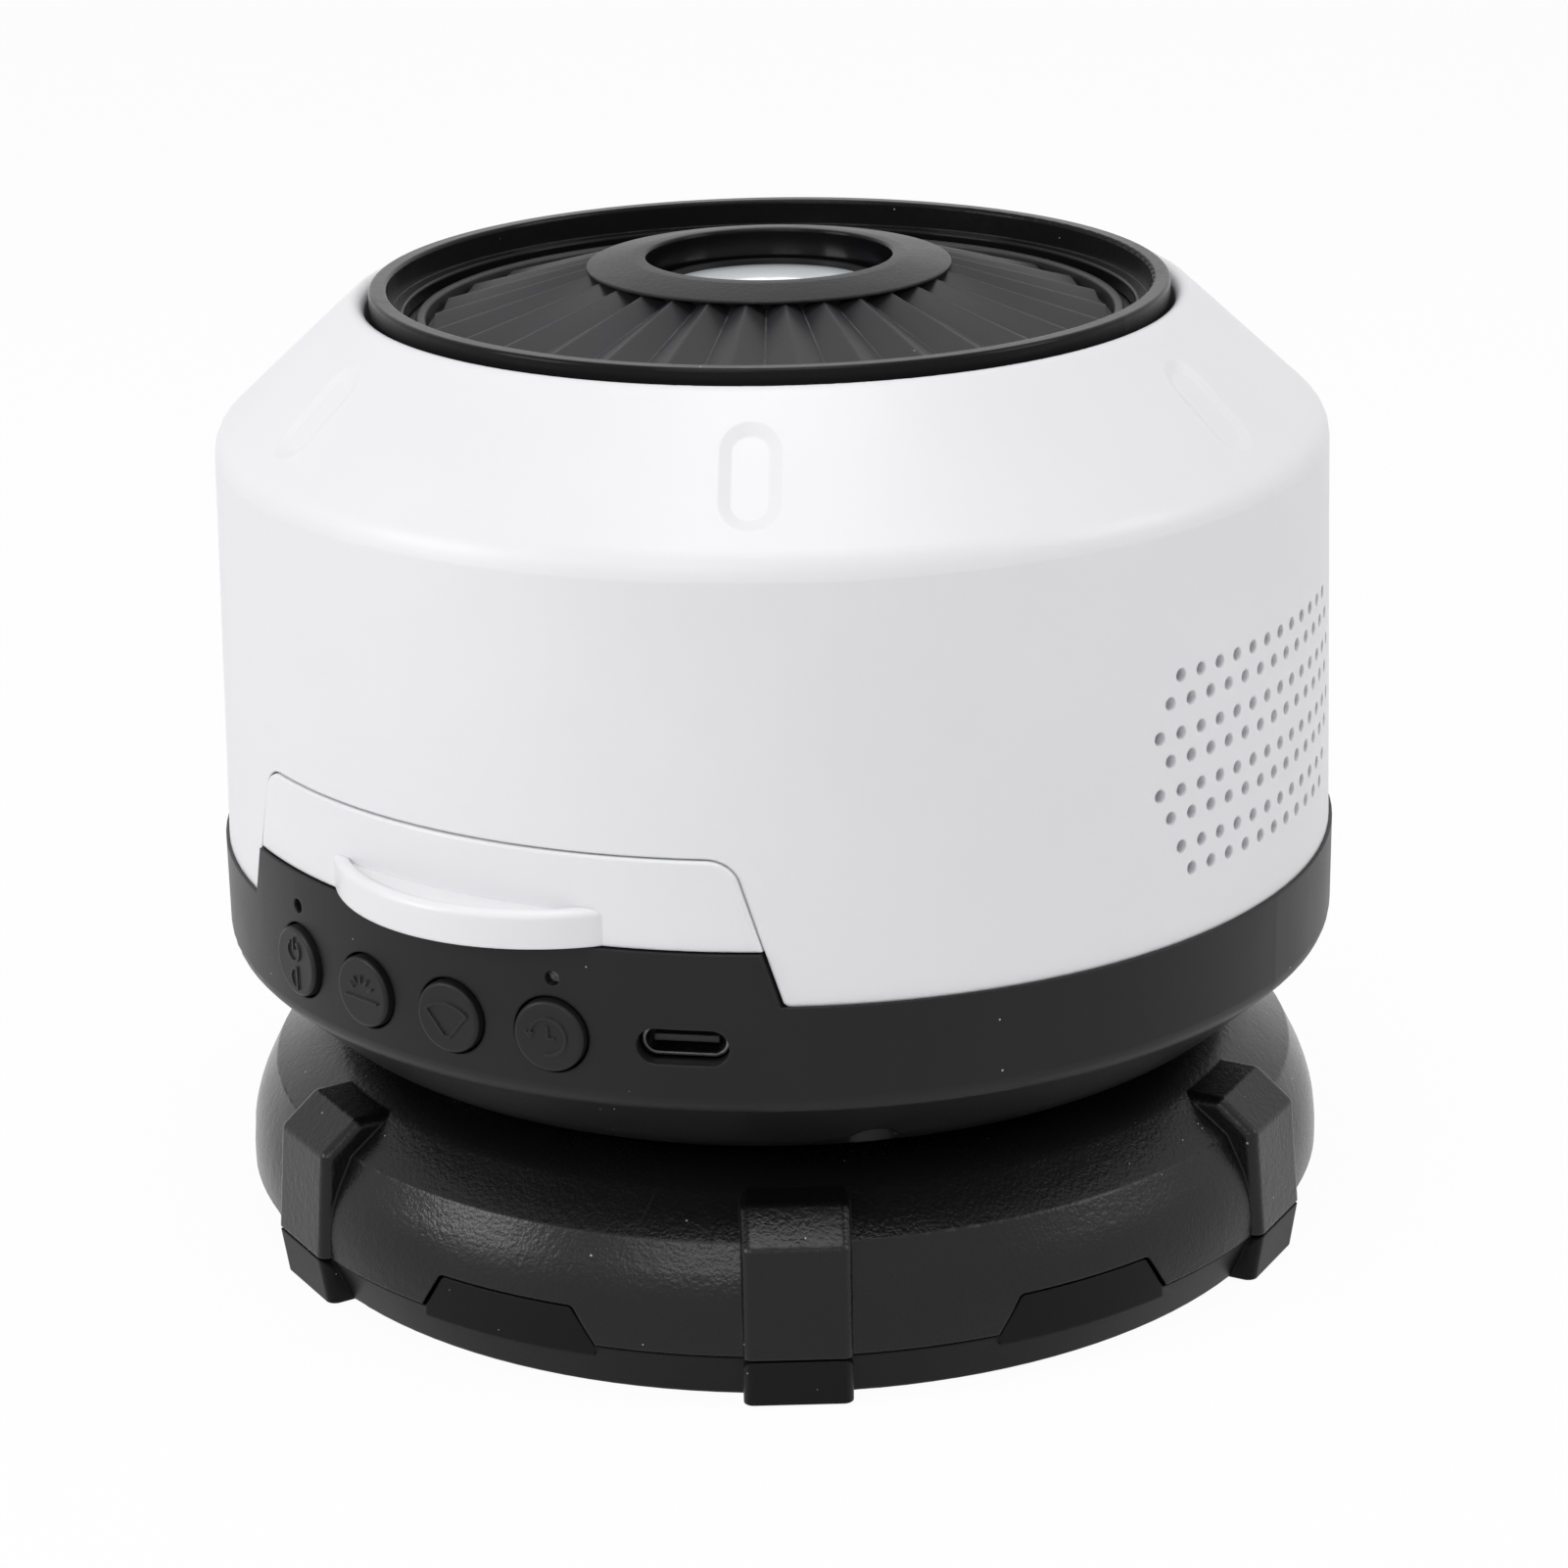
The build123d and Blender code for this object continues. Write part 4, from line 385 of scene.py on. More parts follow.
def paint_shade_below(material, low, high):
    """Painted shade: darken what lies nearer to the axis than low, in millimetres, to near black
    and make it rougher, fading out so that only the faces beyond high keep their own colour and
    sheen."""
    tree = material.node_tree
    shader = tree.nodes["Principled BSDF"]
    here = place(tree, "ShaderNodeTexCoord").outputs["Object"]
    face = fade(tree, out_from_axis(tree, here), low * mm, high * mm)
    colour = shader.inputs["Base Color"].links[0].from_socket
    shade = (0.002, 0.002, 0.002)
    tree.links.new(blend_colour(tree, face, shade, colour), shader.inputs["Base Color"])
    rough = shader.inputs["Roughness"].links[0].from_socket
    duller = math(tree, "MULTIPLY", math(tree, "SUBTRACT", 1.0, face), 0.5)
    tree.links.new(math(tree, "ADD", rough, duller, clamp=True), shader.inputs["Roughness"])


# ---- finishes ------------------------------------------------------------------------
white_casing = moulded(
    "white_casing_satin", (0.80, 0.797, 0.818), 0.42, spread=0.05, grain=2600.0, depth=0.005,
    edge_colour=(0.86, 0.865, 0.885), wear_and_highlight=0.3, dust=0.0, scuffs=0.0, tint=0.008,
)
tray_white = moulded(
    "tray_front_white", (0.80, 0.798, 0.815), 0.32, spread=0.04, grain=2800.0, depth=0.003,
    edge_colour=(0.86, 0.865, 0.88), wear_and_highlight=0.3, dust=0.0, scuffs=0.0, tint=0.01,
)
# Painted light: the screen's pale grey, seen through the speaker's holes, stands in for light
# coming through the casing's white plastic.
screen_pale_painted_light = moulded(
    "grille_screen_pale_painted_light", (0.62, 0.62, 0.62), 0.6, spread=0.05, grain=1500.0, depth=0.03,
    dust=0.0, scuffs=0.0, tint=0.05,
)
band_black = moulded(
    "band_satin_black", (0.011, 0.011, 0.012), 0.4, spread=0.08, grain=2800.0, depth=0.006,
    edge_colour=(0.06, 0.06, 0.062), wear_and_highlight=0.35, dust=0.45, scuffs=0.03, specular=0.2, tint=0.1,
)
base_black = moulded(
    "base_eroded_black", (0.005, 0.005, 0.0054), 0.25, spread=0.12, grain=2500.0, depth=0.045,
    edge_colour=(0.03, 0.03, 0.032), wear_and_highlight=0.4, dust=0.4, scuffs=0.02, specular=0.27, tint=0.15,
)
foot_black = moulded(
    "foot_shell_black", (0.005, 0.005, 0.0054), 0.42, spread=0.08, grain=2800.0, depth=0.012,
    edge_colour=(0.03, 0.03, 0.032), wear_and_highlight=0.4, dust=0.35, scuffs=0.03, specular=0.11, tint=0.15,
)
bezel_black = moulded(
    "bezel_gloss_black", (0.006, 0.006, 0.0064), 0.18, spread=0.16, grain=900.0, depth=0.014,
    edge_colour=(0.12, 0.12, 0.12), edge_radius=0.25, wear_and_highlight=0.5, dust=0.4, scuffs=0.03,
    specular=0.1, tint=0.1,
)
# Painted highlight: its pale edge colour draws light lines along the pleats' crests and the rim's
# edges, besides edges worn pale.
dial_black = moulded(
    "dial_satin_black", (0.022, 0.022, 0.024), 0.42, spread=0.1, grain=2600.0, depth=0.016,
    edge_colour=(0.34, 0.34, 0.345), edge_radius=0.28, wear_and_highlight=0.9, dust=0.2, scuffs=0.03,
    specular=0.3, tint=0.12,
)
# Painted highlight: its pale edge colour draws a light line along the collar's edges, besides edges
# worn pale.
collar_black = moulded(
    "dial_collar_grained", (0.015, 0.015, 0.0165), 0.36, spread=0.12, grain=2400.0, depth=0.034,
    edge_colour=(0.22, 0.22, 0.225), edge_radius=0.3, wear_and_highlight=0.8, dust=0.25, scuffs=0.02,
    specular=0.14, tint=0.15,
)
bore_black = moulded(
    "dial_bore_polished", (0.004, 0.004, 0.0045), 0.16, spread=0.06, grain=1200.0, depth=0.004,
    edge_colour=(0.03, 0.03, 0.03), wear_and_highlight=0.2, dust=0.3, scuffs=0.02, specular=0.12, tint=0.2,
)
button_black = moulded(
    "button_satin_black", (0.012, 0.012, 0.013), 0.4, spread=0.08, grain=3200.0, depth=0.002,
    edge_colour=(0.10, 0.10, 0.102), edge_radius=0.15, wear_and_highlight=0.7, dust=0.02, scuffs=0.0,
    specular=0.22, tint=0.1,
)
# Painted shade on the buttons' sides, where they stand out of the band.
paint_shade_below(button_black, band_radius + button_side, band_radius + button_face)
barrel_black = moulded(
    "lens_barrel_black", (0.006, 0.006, 0.0065), 0.4, spread=0.1, grain=2600.0, depth=0.004,
    edge_colour=(0.03, 0.03, 0.03), dust=0.01, scuffs=0.0, specular=0.15, tint=0.1,
)
pad_rubber = moulded(
    "pad_rubber", (0.022, 0.022, 0.022), 0.75, spread=0.1, grain=1500.0, depth=0.02,
    edge_colour=(0.05, 0.05, 0.05), dust=0.15, scuffs=0.3, specular=0.3, tint=0.2,
)
frame_grey = moulded(
    "frame_grey_moulding", (0.05, 0.05, 0.053), 0.5, spread=0.1, grain=2000.0, depth=0.005,
    edge_colour=(0.12, 0.12, 0.12), dust=0.0, scuffs=0.0, tint=0.08,
)
natural_acetal = moulded(
    "acetal_natural", (0.72, 0.71, 0.67), 0.32, spread=0.06, grain=1600.0, depth=0.002,
    edge_colour=(0.8, 0.79, 0.76), dust=0.0, scuffs=0.0, tint=0.02,
)
chip_black = moulded(
    "chip_epoxy", (0.02, 0.02, 0.021), 0.6, grain=3600.0, depth=0.008,
    edge_colour=(0.06, 0.06, 0.06), dust=0.0, scuffs=0.0,
)
foam_black = moulded(
    "foam_gasket", (0.03, 0.03, 0.03), 0.9, grain=1100.0, depth=0.12,
    edge_colour=(0.05, 0.05, 0.05), dust=0.0, scuffs=0.0, specular=0.2, tint=0.3,
)
cone_paper = moulded(
    "speaker_pulp", (0.035, 0.034, 0.033), 0.85, grain=900.0, depth=0.05,
    edge_colour=(0.06, 0.06, 0.06), dust=0.0, scuffs=0.0, specular=0.2, tint=0.25,
)
cell_sleeve = moulded(
    "cell_shrink_sleeve", (0.03, 0.09, 0.24), 0.25, grain=500.0, depth=0.01,
    edge_colour=(0.08, 0.16, 0.34), dust=0.0, scuffs=0.0, tint=0.06, coat=0.3,
)
phosphor = moulded(
    "led_phosphor", (0.86, 0.72, 0.2), 0.35, grain=1200.0, depth=0.003,
    edge_colour=(0.95, 0.9, 0.6), dust=0.0, scuffs=0.0,
)
plain_steel = metal("steel_drawn", (0.56, 0.56, 0.57), 0.34, stretch=(1.0, 1.0, 0.12))
screw_zinc = metal("screw_zinc", (0.62, 0.62, 0.63), 0.3, lines=2400.0)
sink_aluminium = metal("sink_aluminium", (0.78, 0.79, 0.8), 0.38, stretch=(0.15, 1.0, 1.0))
pin_brass = metal("pin_brass", (0.78, 0.58, 0.26), 0.28, tarnish=(0.5, 0.34, 0.14))
contact_gold = metal(
    "contact_gold", (0.86, 0.64, 0.28), 0.22, lines=4000.0, tarnish=(0.7, 0.5, 0.2)
)
inlet_nickel = metal(
    "inlet_dark_nickel", (0.16, 0.16, 0.165), 0.32, lines=2600.0, tarnish=(0.1, 0.1, 0.105)
)
lens_glass = clear("lens_glass", (0.94, 0.96, 0.97), 0.02, 1.0)
pipe_acrylic = clear("light_pipe_acrylic", (0.9, 0.92, 0.92), 0.12, 0.8, ior=1.49)


def frosted_lens_painted_glow():
    """Front lens: a milky coated dome with a painted glow that makes it show pale, fading a little
    darker towards its edge.
    """
    material, tree, shader = new_material("front_lens_frosted_painted_glow")
    here = place(tree, "ShaderNodeTexCoord").outputs["Object"]
    haze = place(tree, "ShaderNodeTexNoise", {"Vector": here, "Scale": 120.0, "Detail": 3.0})
    share = fade(tree, haze.outputs["Fac"], 0.35, 0.7)
    body = blend_colour(tree, share, (0.24, 0.245, 0.26), (0.29, 0.295, 0.31))
    tree.links.new(body, shader.inputs["Base Color"])
    tree.links.new(fade(tree, haze.outputs["Fac"], 0.3, 0.7, 0.1, 0.2), shader.inputs["Roughness"])
    shader.inputs["Coat Weight"].default_value = 1.0
    # Painted glow: the lens gives off light though it is no lamp, palest in the middle and dimmer
    # towards its rim.
    edge = fade(tree, out_from_axis(tree, here), lens_glow_radius * mm, lens_radius * mm)
    glow = blend_colour(tree, edge, (0.95, 0.96, 1.0), (0.6, 0.62, 0.68))
    tree.links.new(glow, shader.inputs["Emission Color"])
    shader.inputs["Emission Strength"].default_value = 0.72
    return material


def printed_film():
    """Dark film with a scatter of clear dots of several sizes."""
    material, tree, shader = new_material("film_star_field")
    here = place(tree, "ShaderNodeTexCoord").outputs["Object"]
    colour = (0.012, 0.013, 0.03)
    for cells, share, size in ((520.0, 0.5, 0.13), (1100.0, 0.4, 0.16)):
        spots = place(tree, "ShaderNodeTexVoronoi", {"Vector": here, "Scale": cells})
        chance = place(tree, "ShaderNodeSeparateColor", {"Color": spots.outputs["Color"]})
        chosen = math(tree, "LESS_THAN", chance.outputs["Red"], share)
        radius = math(tree, "MULTIPLY", chance.outputs["Blue"], size)
        inside = math(tree, "LESS_THAN", spots.outputs["Distance"], radius)
        dot = math(tree, "MULTIPLY", chosen, inside)
        colour = blend_colour(tree, dot, colour, (0.75, 0.8, 0.9))
    tree.links.new(colour, shader.inputs["Base Color"])
    gloss = place(tree, "ShaderNodeTexNoise", {"Vector": here, "Scale": 70.0, "Detail": 3.0})
    rough = fade(tree, gloss.outputs["Fac"], 0.3, 0.7, 0.08, 0.18)
    tree.links.new(rough, shader.inputs["Roughness"])
    return material


def circuit_board():
    """Green solder mask over tracks and pads on a square grid."""
    material, tree, shader = new_material("board_solder_mask")
    here = place(tree, "ShaderNodeTexCoord").outputs["Object"]
    track_grid = (1.1 * mm, 1.1 * mm, 10.0 * mm)
    snapped = place(tree, "ShaderNodeVectorMath", {0: here, 1: track_grid}, operation="SNAP")
    cells = place(tree, "ShaderNodeTexWhiteNoise", {"Vector": snapped.outputs["Vector"]})
    lanes = place(tree, "ShaderNodeTexBrick", {"Vector": here, "Scale": 260.0, "Mortar Size": 0.1})
    routed = fade(tree, cells.outputs["Value"], 0.3, 0.31)
    track = math(tree, "MULTIPLY", lanes.outputs["Fac"], routed)
    body = blend_colour(tree, track, (0.012, 0.085, 0.035), (0.04, 0.19, 0.075))
    pads = place(
        tree, "ShaderNodeTexVoronoi", {"Vector": here, "Scale": 330.0, "Randomness": 0.25}
    )
    dot = math(tree, "LESS_THAN", pads.outputs["Distance"], 0.2)
    ring = math(tree, "MULTIPLY", dot, fade(tree, cells.outputs["Value"], 0.72, 0.73))
    tree.links.new(blend_colour(tree, ring, body, (0.62, 0.6, 0.55)), shader.inputs["Base Color"])
    tree.links.new(fade(tree, track, 0.0, 1.0, 0.3, 0.38), shader.inputs["Roughness"])
    bump = place(tree, "ShaderNodeBump", {"Distance": 0.03 * mm, "Height": track})
    tree.links.new(bump.outputs["Normal"], shader.inputs["Normal"])
    return material


lens_frosted_painted_glow = frosted_lens_painted_glow()
film_print = printed_film()
board_green = circuit_board()

finish_of = {
    "upper_casing": white_casing,
    "tray_front": tray_white,
    "lower_casing": band_black,
    "base_lower_shell": foot_black,
    "base_upper_shell": base_black,
    "bezel_ring": bezel_black,
    "focus_dial": dial_black,
    "lens_barrel": barrel_black,
    "lens_retaining_ring": barrel_black,
    "foot_pads": pad_rubber,
    "ballast_plate": plain_steel,
    "glide_washer": natural_acetal,
    "swivel_retainer": natural_acetal,
    "guide_tube": frame_grey,
    "optics_deck": frame_grey,
    "film_tray": frame_grey,
    "condenser_holder": frame_grey,
    "battery_cradle": frame_grey,
    "gear_motor": plain_steel,
    "motor_shaft": plain_steel,
    "heat_sink": sink_aluminium,
    "led_board": sink_aluminium,
    "led_emitter": phosphor,
    "indicator_leds": phosphor,
    "condenser_lens": lens_glass,
    "rear_lens": lens_glass,
    "front_lens": lens_frosted_painted_glow,
    "main_board": board_green,
    "control_chip": chip_black,
    "tact_switches": chip_black,
    "usb_tongue": chip_black,
    "usb_shell": inlet_nickel,
    "light_pipes": pipe_acrylic,
    "battery_cell": cell_sleeve,
    "speaker_frame": plain_steel,
    "speaker_magnet": plain_steel,
    "speaker_cone": cone_paper,
    "speaker_gasket": foam_black,
    "disc_carrier": natural_acetal,
    "drive_pinion": natural_acetal,
    "film_disc": film_print,
    "cam_sleeve": natural_acetal,
    "cam_pins": pin_brass,
}
for name, node in nodes.items():
    if name.startswith("button_"):
        finish = button_black
    elif name.endswith("_screws"):
        finish = screw_zinc
    else:
        finish = finish_of[name]
    node.data.materials.clear()
    node.data.materials.append(finish)


# ---- pieces that follow a rule -------------------------------------------------------
def new_object(name, data):
    """Object of a mesh, lamp or camera in the scene."""
    made = bpy.data.objects.new(name, data)
    bpy.context.scene.collection.objects.link(made)
    return made


def smooth_but_creased(mesh):
    """Shade a mesh smooth except at its sharp edges."""
    mesh.shade_smooth()
    mesh.set_sharp_from_angle(angle=radians(30.0))


def geometry_group(name, numbers, counts):
    """Geometry tree with named sizes, whole numbers and a material, and a mesh as its result."""
    tree = bpy.data.node_groups.new(name, "GeometryNodeTree")
    for socket, value in numbers.items():
        item = tree.interface.new_socket(socket, in_out="INPUT", socket_type="NodeSocketFloat")
        item.default_value = value
    for socket, value in counts.items():
        item = tree.interface.new_socket(socket, in_out="INPUT", socket_type="NodeSocketInt")
        item.default_value = value
    tree.interface.new_socket("Material", in_out="INPUT", socket_type="NodeSocketMaterial")
    tree.interface.new_socket("Mesh", in_out="OUTPUT", socket_type="NodeSocketGeometry")
    return tree, tree.nodes.new("NodeGroupInput").outputs, tree.nodes.new("NodeGroupOutput").inputs


def close_tree(tree, mesh, given, out):
    """End a tree: real geometry with its material."""
    real = place(tree, "GeometryNodeRealizeInstances", {"Geometry": mesh})
    painted = place(
        tree,
        "GeometryNodeSetMaterial",
        {"Geometry": real.outputs["Geometry"], "Material": given["Material"]},
    )
    tree.links.new(painted.outputs["Geometry"], out["Mesh"])
    return tree


def grown(tree, name, values):
    """Object whose plain mesh is what the tree makes of these values."""
    maker = new_object(name, bpy.data.meshes.new(name + "_seed"))
    modifier = maker.modifiers.new("grow", "NODES")
    modifier.node_group = tree
    for item in tree.interface.items_tree:
        if item.in_out == "INPUT" and item.name in values:
            modifier[item.identifier] = values[item.name]
    ready = maker.evaluated_get(bpy.context.evaluated_depsgraph_get())
    mesh = bpy.data.meshes.new_from_object(ready)
    mesh.name = name
    maker.modifiers.remove(modifier)
    maker.data = mesh
    smooth_but_creased(mesh)
    return maker


def between(tree, share, low, high):
    """Value that runs from low to high with a share from 0 to 1."""
    node = place(tree, "ShaderNodeMix", {"Factor": share}, data_type="FLOAT")
    value_a, value_b, value_out = node.inputs[2], node.inputs[3], node.outputs[0]
    tree.links.new(low, value_a)
    tree.links.new(high, value_b)
    return value_out


def xyz(tree, **parts):
    """Vector of the parts that are given, with 0 for the rest."""
    return place(tree, "ShaderNodeCombineXYZ", parts).outputs[0]


def turned_spot(tree, radius, angle, level):
    """Point at a radius and a level, turned by an angle from -Y towards +X."""
    side = math(tree, "MULTIPLY", radius, math(tree, "SINE", angle))
    ahead = math(tree, "MULTIPLY", radius, math(tree, "COSINE", angle))
    back = math(tree, "MULTIPLY", ahead, -1.0)
    return xyz(tree, X=side, Y=back, Z=level)


def pleated_ring():
    """Ring of radial pleats.  A grid is rolled up: across it the outline runs along the
    top, down the outer wall, back below and up the inner wall; along it the ring turns."""
    tree, given, out = geometry_group(
        "pleated_ring",
        {
            "Inner Radius": 0.0176, "Outer Radius": 0.0369,
            "Inner Ridge": 0.1082, "Outer Ridge": 0.1026,
            "Inner Valley": 0.1074, "Outer Valley": 0.1013,
            "Inner Underside": 0.1058, "Outer Underside": 0.1007,
            "First Ridge": 0.0, "Crest Softness": 0.04,
        },
        {"Pleats": 30, "Steps": 40},
    )
    top_steps = 6.0         # along the top; then one step each down, back and up
    loop = top_steps + 3
    around = math(tree, "MULTIPLY", given["Pleats"], given["Steps"])
    grid = place(
        tree,
        "GeometryNodeMeshGrid",
        {
            "Size X": loop,
            "Size Y": 1.0,
            "Vertices X": int(loop) + 1,
            "Vertices Y": math(tree, "ADD", around, 1.0),
        },
    )
    position = place(tree, "GeometryNodeInputPosition").outputs[0]
    flat = place(tree, "ShaderNodeSeparateXYZ", {0: position})
    station = math(tree, "ADD", flat.outputs["X"], loop / 2)
    turn = math(tree, "ADD", flat.outputs["Y"], 0.5)
    outward = math(tree, "MINIMUM", math(tree, "DIVIDE", station, top_steps), 1.0)
    before_back = math(tree, "LESS_THAN", station, top_steps + 1.5)
    outward = math(tree, "MULTIPLY", outward, before_back)
    below = math(
        tree,
        "MULTIPLY",
        math(tree, "GREATER_THAN", station, top_steps + 0.5),
        math(tree, "LESS_THAN", station, top_steps + 2.5),
    )
    phase = math(tree, "FRACT", math(tree, "MULTIPLY", turn, given["Pleats"]))
    swing = math(tree, "SUBTRACT", math(tree, "MULTIPLY", phase, 2.0), 1.0)
    folded = math(tree, "ABSOLUTE", swing)
    off_ridge = math(tree, "SUBTRACT", 1.0, folded)
    squared = math(tree, "MULTIPLY", off_ridge, off_ridge)
    softness = math(tree, "MULTIPLY", given["Crest Softness"], given["Crest Softness"])
    off_crest = math(tree, "SQRT", math(tree, "ADD", squared, softness))
    height = math(tree, "SUBTRACT", 1.0, off_crest)
    radius = between(tree, outward, given["Inner Radius"], given["Outer Radius"])
    ridge = between(tree, outward, given["Inner Ridge"], given["Outer Ridge"])
    valley = between(tree, outward, given["Inner Valley"], given["Outer Valley"])
    underside = between(tree, outward, given["Inner Underside"], given["Outer Underside"])
    level = between(tree, below, between(tree, height, valley, ridge), underside)
    angle = math(tree, "ADD", math(tree, "MULTIPLY", turn, 2 * pi), given["First Ridge"])
    rolled = turned_spot(tree, radius, angle, level)
    moved = place(
        tree, "GeometryNodeSetPosition", {"Geometry": grid.outputs["Mesh"], "Position": rolled}
    )
    joined = place(
        tree,
        "GeometryNodeMergeByDistance",
        {"Geometry": moved.outputs["Geometry"], "Distance": 0.002 * mm},
    )
    return close_tree(tree, joined.outputs["Geometry"], given, out)


def cross_head_ring():
    """Ring of screws seen from their heads: a tapered head with a cross cut into it."""
    tree, given, out = geometry_group(
        "cross_head_ring",
        {
            "Circle": 0.05, "First": 0.0, "Level": 0.0,
            "Head Radius": 0.0021, "Head Height": 0.0014,
            "Shank Radius": 0.0011, "Shank Length": 0.01, "Cross Width": 0.0007,
        },
        {"Screws": 3},
    )
    head = place(
        tree,
        "GeometryNodeMeshCone",
        {
            "Vertices": 40,
            "Side Segments": 4,
            "Radius Top": given["Head Radius"],
            "Radius Bottom": math(tree, "MULTIPLY", given["Head Radius"], 0.82),
            "Depth": given["Head Height"],
        },
    )
    shank = place(
        tree,
        "GeometryNodeMeshCylinder",
        {"Vertices": 24, "Radius": given["Shank Radius"], "Depth": given["Shank Length"]},
    )
    below = xyz(tree, Z=math(tree, "MULTIPLY", given["Head Height"], -1.0))
    lowered = place(
        tree, "GeometryNodeTransform", {"Geometry": head.outputs["Mesh"], "Translation": below}
    )
    half_shank = math(tree, "MULTIPLY", given["Shank Length"], 0.5)
    sunk = 0.02 * mm        # the shank starts inside the head
    above = xyz(tree, Z=math(tree, "SUBTRACT", half_shank, sunk))
    raised = place(
        tree, "GeometryNodeTransform", {"Geometry": shank.outputs["Mesh"], "Translation": above}
    )
    arm = math(tree, "MULTIPLY", given["Head Radius"], 1.25)
    depth = math(tree, "MULTIPLY", given["Head Height"], 1.2)
    cut = place(tree, "GeometryNodeMeshBoolean", operation="DIFFERENCE", solver="EXACT")
    tree.links.new(lowered.outputs["Geometry"], cut.inputs["Mesh 1"])
    for across, along in ((arm, given["Cross Width"]), (given["Cross Width"], arm)):
        size = xyz(tree, X=across, Y=along, Z=depth)
        bar = place(tree, "GeometryNodeMeshCube", {"Size": size})
        slot = place(
            tree, "GeometryNodeTransform", {"Geometry": bar.outputs["Mesh"], "Translation": below}
        )
        tree.links.new(slot.outputs["Geometry"], cut.inputs["Mesh 2"])
    screw = place(tree, "GeometryNodeJoinGeometry")
    tree.links.new(raised.outputs["Geometry"], screw.inputs[0])
    tree.links.new(cut.outputs["Mesh"], screw.inputs[0])
    circle = place(
        tree, "GeometryNodeMeshCircle", {"Vertices": given["Screws"], "Radius": given["Circle"]}
    )
    turned = place(
        tree,
        "GeometryNodeTransform",
        {
            "Geometry": circle.outputs["Mesh"],
            "Rotation": xyz(tree, Z=given["First"]),
            "Translation": xyz(tree, Z=given["Level"]),
        },
    )
    index = place(tree, "GeometryNodeInputIndex").outputs[0]
    spin = place(tree, "FunctionNodeRandomValue", {"ID": index, "Seed": 7})
    random_share = spin.outputs[1]
    angle = math(tree, "MULTIPLY", random_share, pi / 2)
    rings = place(
        tree,
        "GeometryNodeInstanceOnPoints",
        {
            "Points": turned.outputs["Geometry"],
            "Instance": screw.outputs[0],
            "Rotation": xyz(tree, Z=angle),
        },
    )
    return close_tree(tree, rings.outputs["Instances"], given, out)


def contact_row():
    """Rows of flat spring contacts above and below the inlet's tongue."""
    tree, given, out = geometry_group(
        "contact_row",
        {
            "Azimuth": 0.4, "Distance": 0.055, "Level": 0.04,
            "Pitch": 0.0005, "Spread": 0.0007,
            "Width": 0.00028, "Length": 0.0042, "Sheet": 0.00008,
        },
        {"Contacts": 12},
    )
    size = xyz(tree, X=given["Width"], Y=given["Length"], Z=given["Sheet"])
    leaf = place(tree, "GeometryNodeMeshCube", {"Size": size})
    gaps = math(tree, "SUBTRACT", given["Contacts"], 1.0)
    first = math(tree, "MULTIPLY", math(tree, "MULTIPLY", gaps, given["Pitch"]), -0.5)
    rows = place(tree, "GeometryNodeJoinGeometry")
    for side in (0.5, -0.5):
        lift = math(tree, "MULTIPLY", given["Spread"], side)
        line = place(
            tree,
            "GeometryNodeMeshLine",
            {
                "Count": given["Contacts"],
                "Start Location": xyz(tree, X=first, Z=lift),
                "Offset": xyz(tree, X=given["Pitch"]),
            },
            mode="OFFSET",
        )
        tree.links.new(line.outputs["Mesh"], rows.inputs[0])
    leaves = place(
        tree,
        "GeometryNodeInstanceOnPoints",
        {"Points": rows.outputs[0], "Instance": leaf.outputs["Mesh"]},
    )
    placed = place(
        tree,
        "GeometryNodeTransform",
        {
            "Geometry": leaves.outputs["Instances"],
            "Rotation": xyz(tree, Z=given["Azimuth"]),
            "Translation": turned_spot(tree, given["Distance"], given["Azimuth"], given["Level"]),
        },
    )
    return close_tree(tree, placed.outputs["Geometry"], given, out)


def rounded(corners, rounds):
    """Closed outline of (radius, height) points with its corners rounded."""
    steps = 6
    points = []
    for k, (corner, radius) in enumerate(zip(corners, rounds)):
        here = Vector(corner)
        back = (Vector(corners[k - 1]) - here).normalized()
        onward = (Vector(corners[(k + 1) % len(corners)]) - here).normalized()
        if radius == 0:
            points.append(here)
            continue
        half = back.angle(onward) / 2
        reach = radius / tan(half)
        centre = here + (back + onward).normalized() * (radius / sin(half))
        start = here + back * reach - centre
        end = here + onward * reach - centre
        sweep = start.angle_signed(end)
        for step in range(steps + 1):
            turn = sweep * step / steps
            across = start.x * cos(turn) + start.y * sin(turn)
            upward = start.y * cos(turn) - start.x * sin(turn)
            points.append(centre + Vector((across, upward)))
    return points


def lathed(name, outline, material, bore=None):
    """Closed ring turned from an outline that runs anticlockwise, with the radius across and
    the height up.  Its inmost wall can have a finish of its own."""
    segments = 240
    count = len(outline)
    verts = []
    faces = []
    for k in range(segments):
        turn = 2 * pi * k / segments
        verts += [(p.x * mm * sin(turn), -p.x * mm * cos(turn), p.y * mm) for p in outline]
        following = (k + 1) % segments
        for i in range(count):
            j = (i + 1) % count
            here, there = k * count, following * count
            faces.append((here + i, there + i, there + j, here + j))
    mesh = bpy.data.meshes.new(name)
    mesh.from_pydata(verts, [], faces)
    mesh.materials.append(material)
    if bore:
        mesh.materials.append(bore)
        wall = (min(p.x for p in outline) + 0.1) * mm
        for face in mesh.polygons:
            face.material_index = int(face.center.xy.length < wall)
    smooth_but_creased(mesh)
    return new_object(name, mesh)


